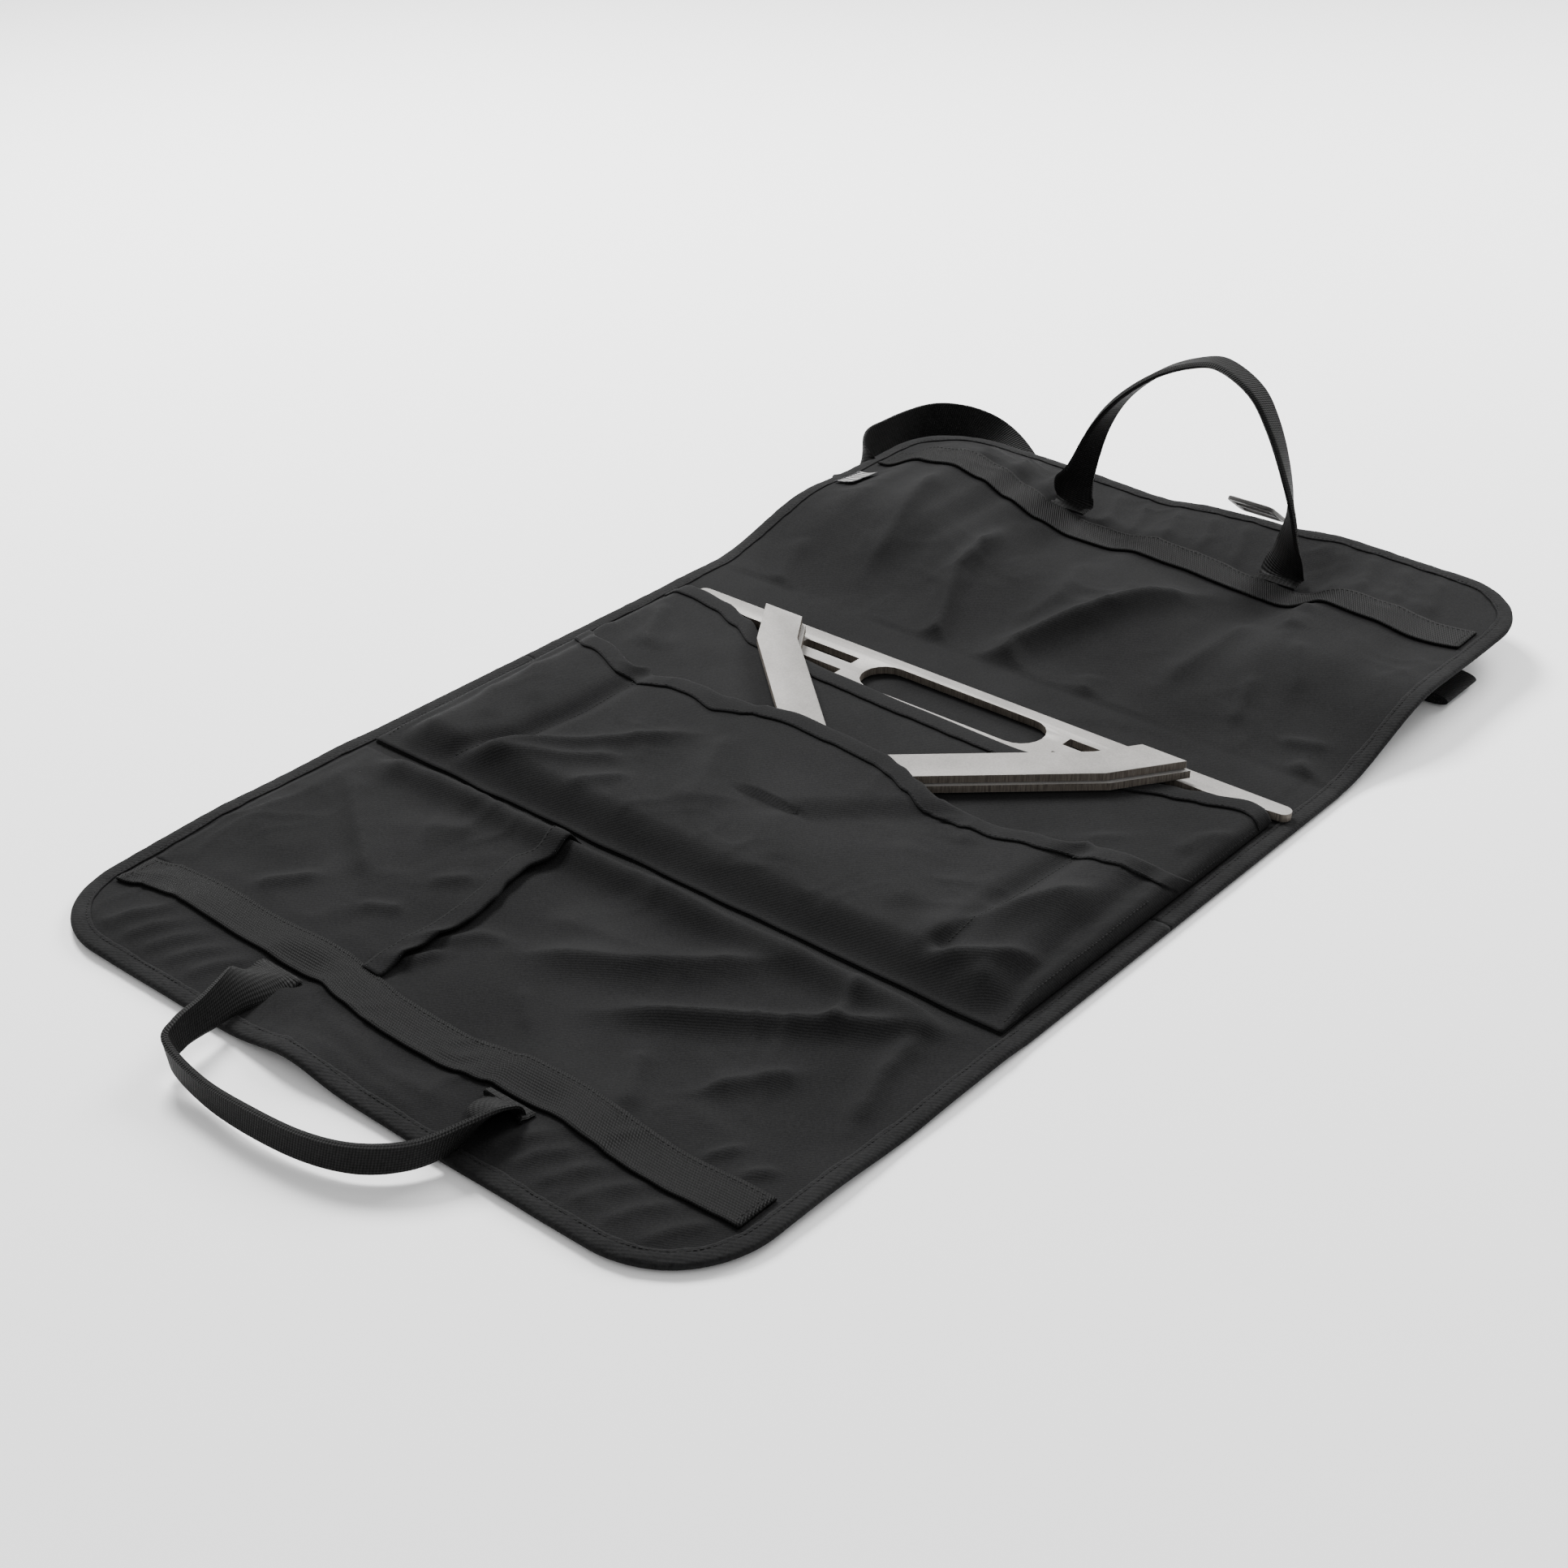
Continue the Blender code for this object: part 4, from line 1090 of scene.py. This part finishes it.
# stations are (x, y, z, way across the webbing, width, thickness), from where each handle is sewn on
handleSet = {"half": 83, "nearPlace": (0, -326.5, 5.2), "farPlace": (0, 373.5, 26.9), "farLift": 22}
end = handleSet["half"]
nearHandleRows = [
    (-end, 0.3, 0.2, -1, 0, 0, 30, 1.8), (-end, -4, 1.2, -1, 0, 0, 30, 1.8),
    (-end + 1, -14, 4.5, -0.97, 0, 0.2, 28, 2.0),
    (-end + 6, -34, 10, -0.6, 0, 0.8, 20, 3.2), (-end + 12, -56, 12, -0.35, 0, 0.93, 16, 4.0),
    (-end + 16, -75, 12.5, -0.2, 0, 0.97, 15, 4.0), (-end + 23, -87, 9.5, -0.1, -0.1, 1, 15, 4.0),
    (-end + 53, -92, 5.5, 0, -0.1, 1, 15, 4.0), (5, -93, 6, 0, 0, 1, 15, 4.0),
    (end - 43, -89, 6, 0, 0, 1, 15, 4.0),
    (end - 17, -79, 6.5, 0, 0, 1, 15, 4.0), (end + 1, -61, 7.5, 0.15, 0, 1, 15, 4.0),
    (end + 8, -38, 9.5, 0.4, 0, 0.9, 17, 3.4),
    (end + 6, -20, 8.5, 0.8, 0, 0.55, 22, 2.4), (end, -9, 4.5, 0.97, 0, 0.15, 28, 2.0),
    (end, -4, 1.4, 1, 0, 0, 30, 1.8),
    (end, 0.3, 0.2, 1, 0, 0, 30, 1.8),
]
nearHandleRows = handleRows(nearHandleRows, *handleSet["nearPlace"])
# both ends lie on the relief of the cloth, which fades out over four stations
for i, (x, y, z, *rest) in enumerate(nearHandleRows):
    fromEnd = min(i, 16 - i)
    nearHandleRows[i] = (x, y, z + cachedLift(x, -326) * (1 - smooth(fromEnd / 4)), *rest)
nearHandle = sweepWebbing("nearHandle", nearHandleRows, 120, gripSection, gripWebbing)

farHandleRows = [
    (-end, -2, 0, 1, 0, 0, 30, 1.8), (-end, 2.5, 0.8, 1, 0, 0, 30, 1.8), (-end, 5, 3.5, 1, 0, 0, 30, 2.0),
    (-end + 1, 6, 12, 0.97, 0.25, 0, 27, 2.6),
    (-end + 8, 5, 28, 0.8, 0.6, 0, 18, 3.8), (-end + 20, 4, 60, 0.4, 0.9, 0, 15, 4.0),
    (-end + 38, 3, 87, 0.1, 1, 0, 15, 4.0),
    (-end + 66, 3, 111, 0, 1, 0, 15, 4.0), (13, 3, 125, 0, 1, 0, 15, 4.0), (31, 3, 126, 0, 1, 0, 15, 4.0),
    (end - 30, 3, 115, 0, 1, 0, 15, 4.0),
    (end - 16, 3, 96, -0.1, 1, 0, 15, 4.0), (end - 4, 3, 70, -0.3, 0.95, 0, 15, 4.0),
    (end + 4, 4, 42, -0.6, 0.8, 0, 17, 4.0),
    (end + 3, 6, 17, -0.92, 0.38, 0, 25, 2.8), (end, 5, 4, -1, 0, 0, 30, 2.0),
    (end, 2.5, 0.8, -1, 0, 0, 30, 1.8), (end, -2, 0, -1, 0, 0, 30, 1.8),
]
farHandleRows = handleRows(farHandleRows, *handleSet["farPlace"])
dropLeft, dropRight = (cachedLift(x, 374) - handleSet["farLift"] for x in (-end, end))
for i, (x, y, z, *rest) in enumerate(farHandleRows):
    drop = dropLeft if i < 9 else dropRight
    farHandleRows[i] = (x, y, z + drop * (1 - smooth(min(i, 17 - i) / 6)), *rest)
farHandle = sweepWebbing("farHandle", farHandleRows, 140, gripSection, gripWebbing)

# the strap's stations are (x, y, z, way across the webbing)
strapSet = {"width": 38, "thick": 1.8, "y": 335, "anchorLong": 24, "anchorThick": 1.4}
strapLeftRows = [
    (-80, 335, 18.5, 0, 1, 0), (-112, 335, 18.5, 0, 1, 0), (-140, 335, 17, 0, 1, 0),
    (-180, 334, 6, 0, 1, 0), (-222, 335, 2.6, 0, 1, 0),
    (-244, 345, 8, 0, 0.9, 0.3), (-253, 364, 19, 0, 0.3, 0.95), (-254, 388, 20, 0, 0, 1),
    (-253, 412, 20, 0, 0, 1),
    (-248, 433, 20, 0, 0.03, 1), (-236, 444, 20, 0, 0.08, 1), (-216, 448, 19.3, 0.05, 0.2, 0.97),
    (-195, 446, 14.6, 0.2, 0.6, 0.7),
    (-172, 436, 9, 0.35, 0.85, 0.35), (-148, 420, 3.5, 0.3, 0.95, 0.05), (-110, 408, 3, 0.05, 1, 0),
    (-60, 402, 3, 0, 1, 0), (-10, 402, 3, 0, 1, 0),
]
strapRightRows = [
    (20, 465, 10, 1, 0, 0), (20, 457, 5, 1, 0, 0), (20, 446, 2, 1, 0, 0), (21, 430, 1.4, 1, 0, 0),
    (27, 404, 1.4, 0.85, 0.4, 0), (60, 378, 1.4, 0.5, 0.85, 0), (100, 362, 1.4, 0.35, 0.93, 0),
    (150, 345, 1.4, 0.15, 1, 0), (195, 338, 1.5, 0, 1, 0), (227, 337, 1.8, 0, 1, 0),
    (236, 337, 4.6, 0, 1, 0), (227, 337, 7.4, 0, 1, 0),
    (195, 336, 8.5, 0, 1, 0), (160, 335, 10, 0, 1, 0), (130, 335, 7.5, 0, 1, 0), (112, 335, 6.8, 0, 1, 0),
    (80, 335, 6.8, 0, 1, 0),
]
strapLeftRows = [(*row, strapSet["width"], strapSet["thick"]) for row in strapLeftRows]
strapRightRows = [(*row, strapSet["width"], strapSet["thick"]) for row in strapRightRows]
strapLeft = sweepWebbing("strapLeft", strapLeftRows, 170, flatSection, gripWebbing)
strapRight = sweepWebbing("strapRight", strapRightRows, 130, flatSection, gripWebbing)


def anchorPatch(name, x, z):
    # a square patch where the strap end is sewn to the shell; its stitches are not drawn
    long, width = strapSet["anchorLong"], strapSet["width"]

    def place(u, v):
        bump = 0.3 * noise.noise(Vector((u * 3, v * 3, x)))
        return x + (u - 0.5) * long, strapSet["y"] + (v - 0.5) * width, z + bump

    return layGrid(name, 8, 12, place, strapSet["anchorThick"], (long, width), gripWebbing)


anchorLeft = anchorPatch("anchorLeft", -92, 16.6)
anchorRight = anchorPatch("anchorRight", 92, 5.2)
print("handles and strap made")


# woven label by the left end of the far band; the folded label is drawn as one slightly curled sheet
def labelPlace(u, v):
    x, y = labelSet["left"] + labelSet["wide"] * u, labelSet["low"] + labelSet["tall"] * v
    curl = 0.8 * u + 0.6 * (1 - v)
    return x, y, 3.8 + 1.5 + curl + cachedLift(x, y)


labelTag = layGrid("labelTag", 12, 16, labelPlace, labelSet["thick"], (17, labelSet["tall"]), stripedLabel)
labelLine = []
for k in range(13):
    x, y, z = labelPlace(0.08, k / 12)
    labelLine.append((x, y, z + 0.05))
labelStitches = stitches("labelStitches", [labelLine], 2.2)
print("label made")


# what each piece moves with, and which plain pieces it stands for
nearPieces = [nearShell, nearLining, nearBinding, nearBindingStitches]
farPieces = [farShell, farLining, farBinding, farBindingStitches]
for piece in nearPieces:
    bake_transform(piece)
for piece in farPieces:
    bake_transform(piece)
for piece in (nearBand, nearBandStitches, sidePocket, sideHem, sideHemStitches):
    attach(piece, "near_panel")
for piece in (farBand, farBandStitches, strapLeft, strapRight, anchorLeft, anchorRight,
              labelTag, labelStitches):
    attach(piece, "far_panel")
for piece in (innerPocket, outerPocket, innerHem, outerHem, innerStitches, outerStitches, seamStitches):
    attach(piece, "pocket_panel")
for piece, body in ((nearHandle, "near_handle"), (farHandle, "far_handle"), (handPlate, "hand_plate"),
                    (lowerBracket, "lower_bracket"), (upperBracket, "upper_bracket"), (slider, "slider")):
    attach(piece, body)

standsFor = {
    nearShell: ("near_outer_shell", "middle_outer_shell"), farShell: ("far_outer_shell",),
    nearLining: ("near_lining", "middle_lining"), farLining: ("far_lining",),
    nearBinding: ("near_binding", "middle_binding_left", "middle_binding_right"),
    farBinding: ("far_binding",),
    nearBand: ("near_webbing_band",), farBand: ("far_webbing_band",),
    sidePocket: ("near_side_pocket",), sideHem: ("near_side_pocket_hem",),
    innerPocket: ("inner_pocket",), innerHem: ("inner_pocket_hem",),
    outerPocket: ("outer_pocket",), outerHem: ("outer_pocket_hem",),
    nearHandle: ("near_handle",), farHandle: ("far_handle",),
    handPlate: ("hand_plate",), lowerBracket: ("lower_bracket",), upperBracket: ("upper_bracket",),
    slider: ("strap_slider",),
    strapLeft: ("strap_left",), strapRight: ("strap_right",), anchorLeft: ("strap_anchor_left",),
    anchorRight: ("strap_anchor_right",),
    labelTag: ("woven_label",),
}
for piece, nodes in standsFor.items():
    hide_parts(*nodes)

# pale paper floor, just under the bag, in metres
floorSet = {"size": 8, "drop": 0.0006, "roughness": 0.85, "colour": (0.9, 0.9, 0.9, 1)}
bpy.ops.mesh.primitive_plane_add(size=floorSet["size"], location=(0, 0, -floorSet["drop"]))
floorPlane = bpy.context.object
floorPlane.name = "floor"
paper, _, paperShader = startMaterial("palePaper", floorSet["roughness"])
paperShader.inputs["Base Color"].default_value = floorSet["colour"]
floorPlane.data.materials.append(paper)

# soft studio light from above, stronger on the left and behind
roomLight = 0.78
lights = [
    {"name": "leftSoft", "place": (-1.5, 0.7, 1.7), "size": 0.8, "power": 125},
    {"name": "backSoft", "place": (0.2, 2.1, 1.5), "size": 1.2, "power": 78},
    {"name": "frontFill", "place": (1.2, -1.6, 2.2), "size": 2.4, "power": 12},
]
for lamp in lights:
    bpy.ops.object.light_add(type="AREA", location=lamp["place"])
    made = bpy.context.object
    made.name = lamp["name"]
    made.data.size = lamp["size"]
    made.data.energy = lamp["power"]
    made.rotation_euler = (-Vector(lamp["place"])).to_track_quat("-Z", "Y").to_euler()
world = bpy.data.worlds.new("studio")
bpy.context.scene.world = world
world.use_nodes = True
background = world.node_tree.nodes["Background"]
background.inputs["Color"].default_value = (1, 1, 1, 1)
background.inputs["Strength"].default_value = roomLight

bpy.data.objects.remove(stitchModel)
print("scene ready")
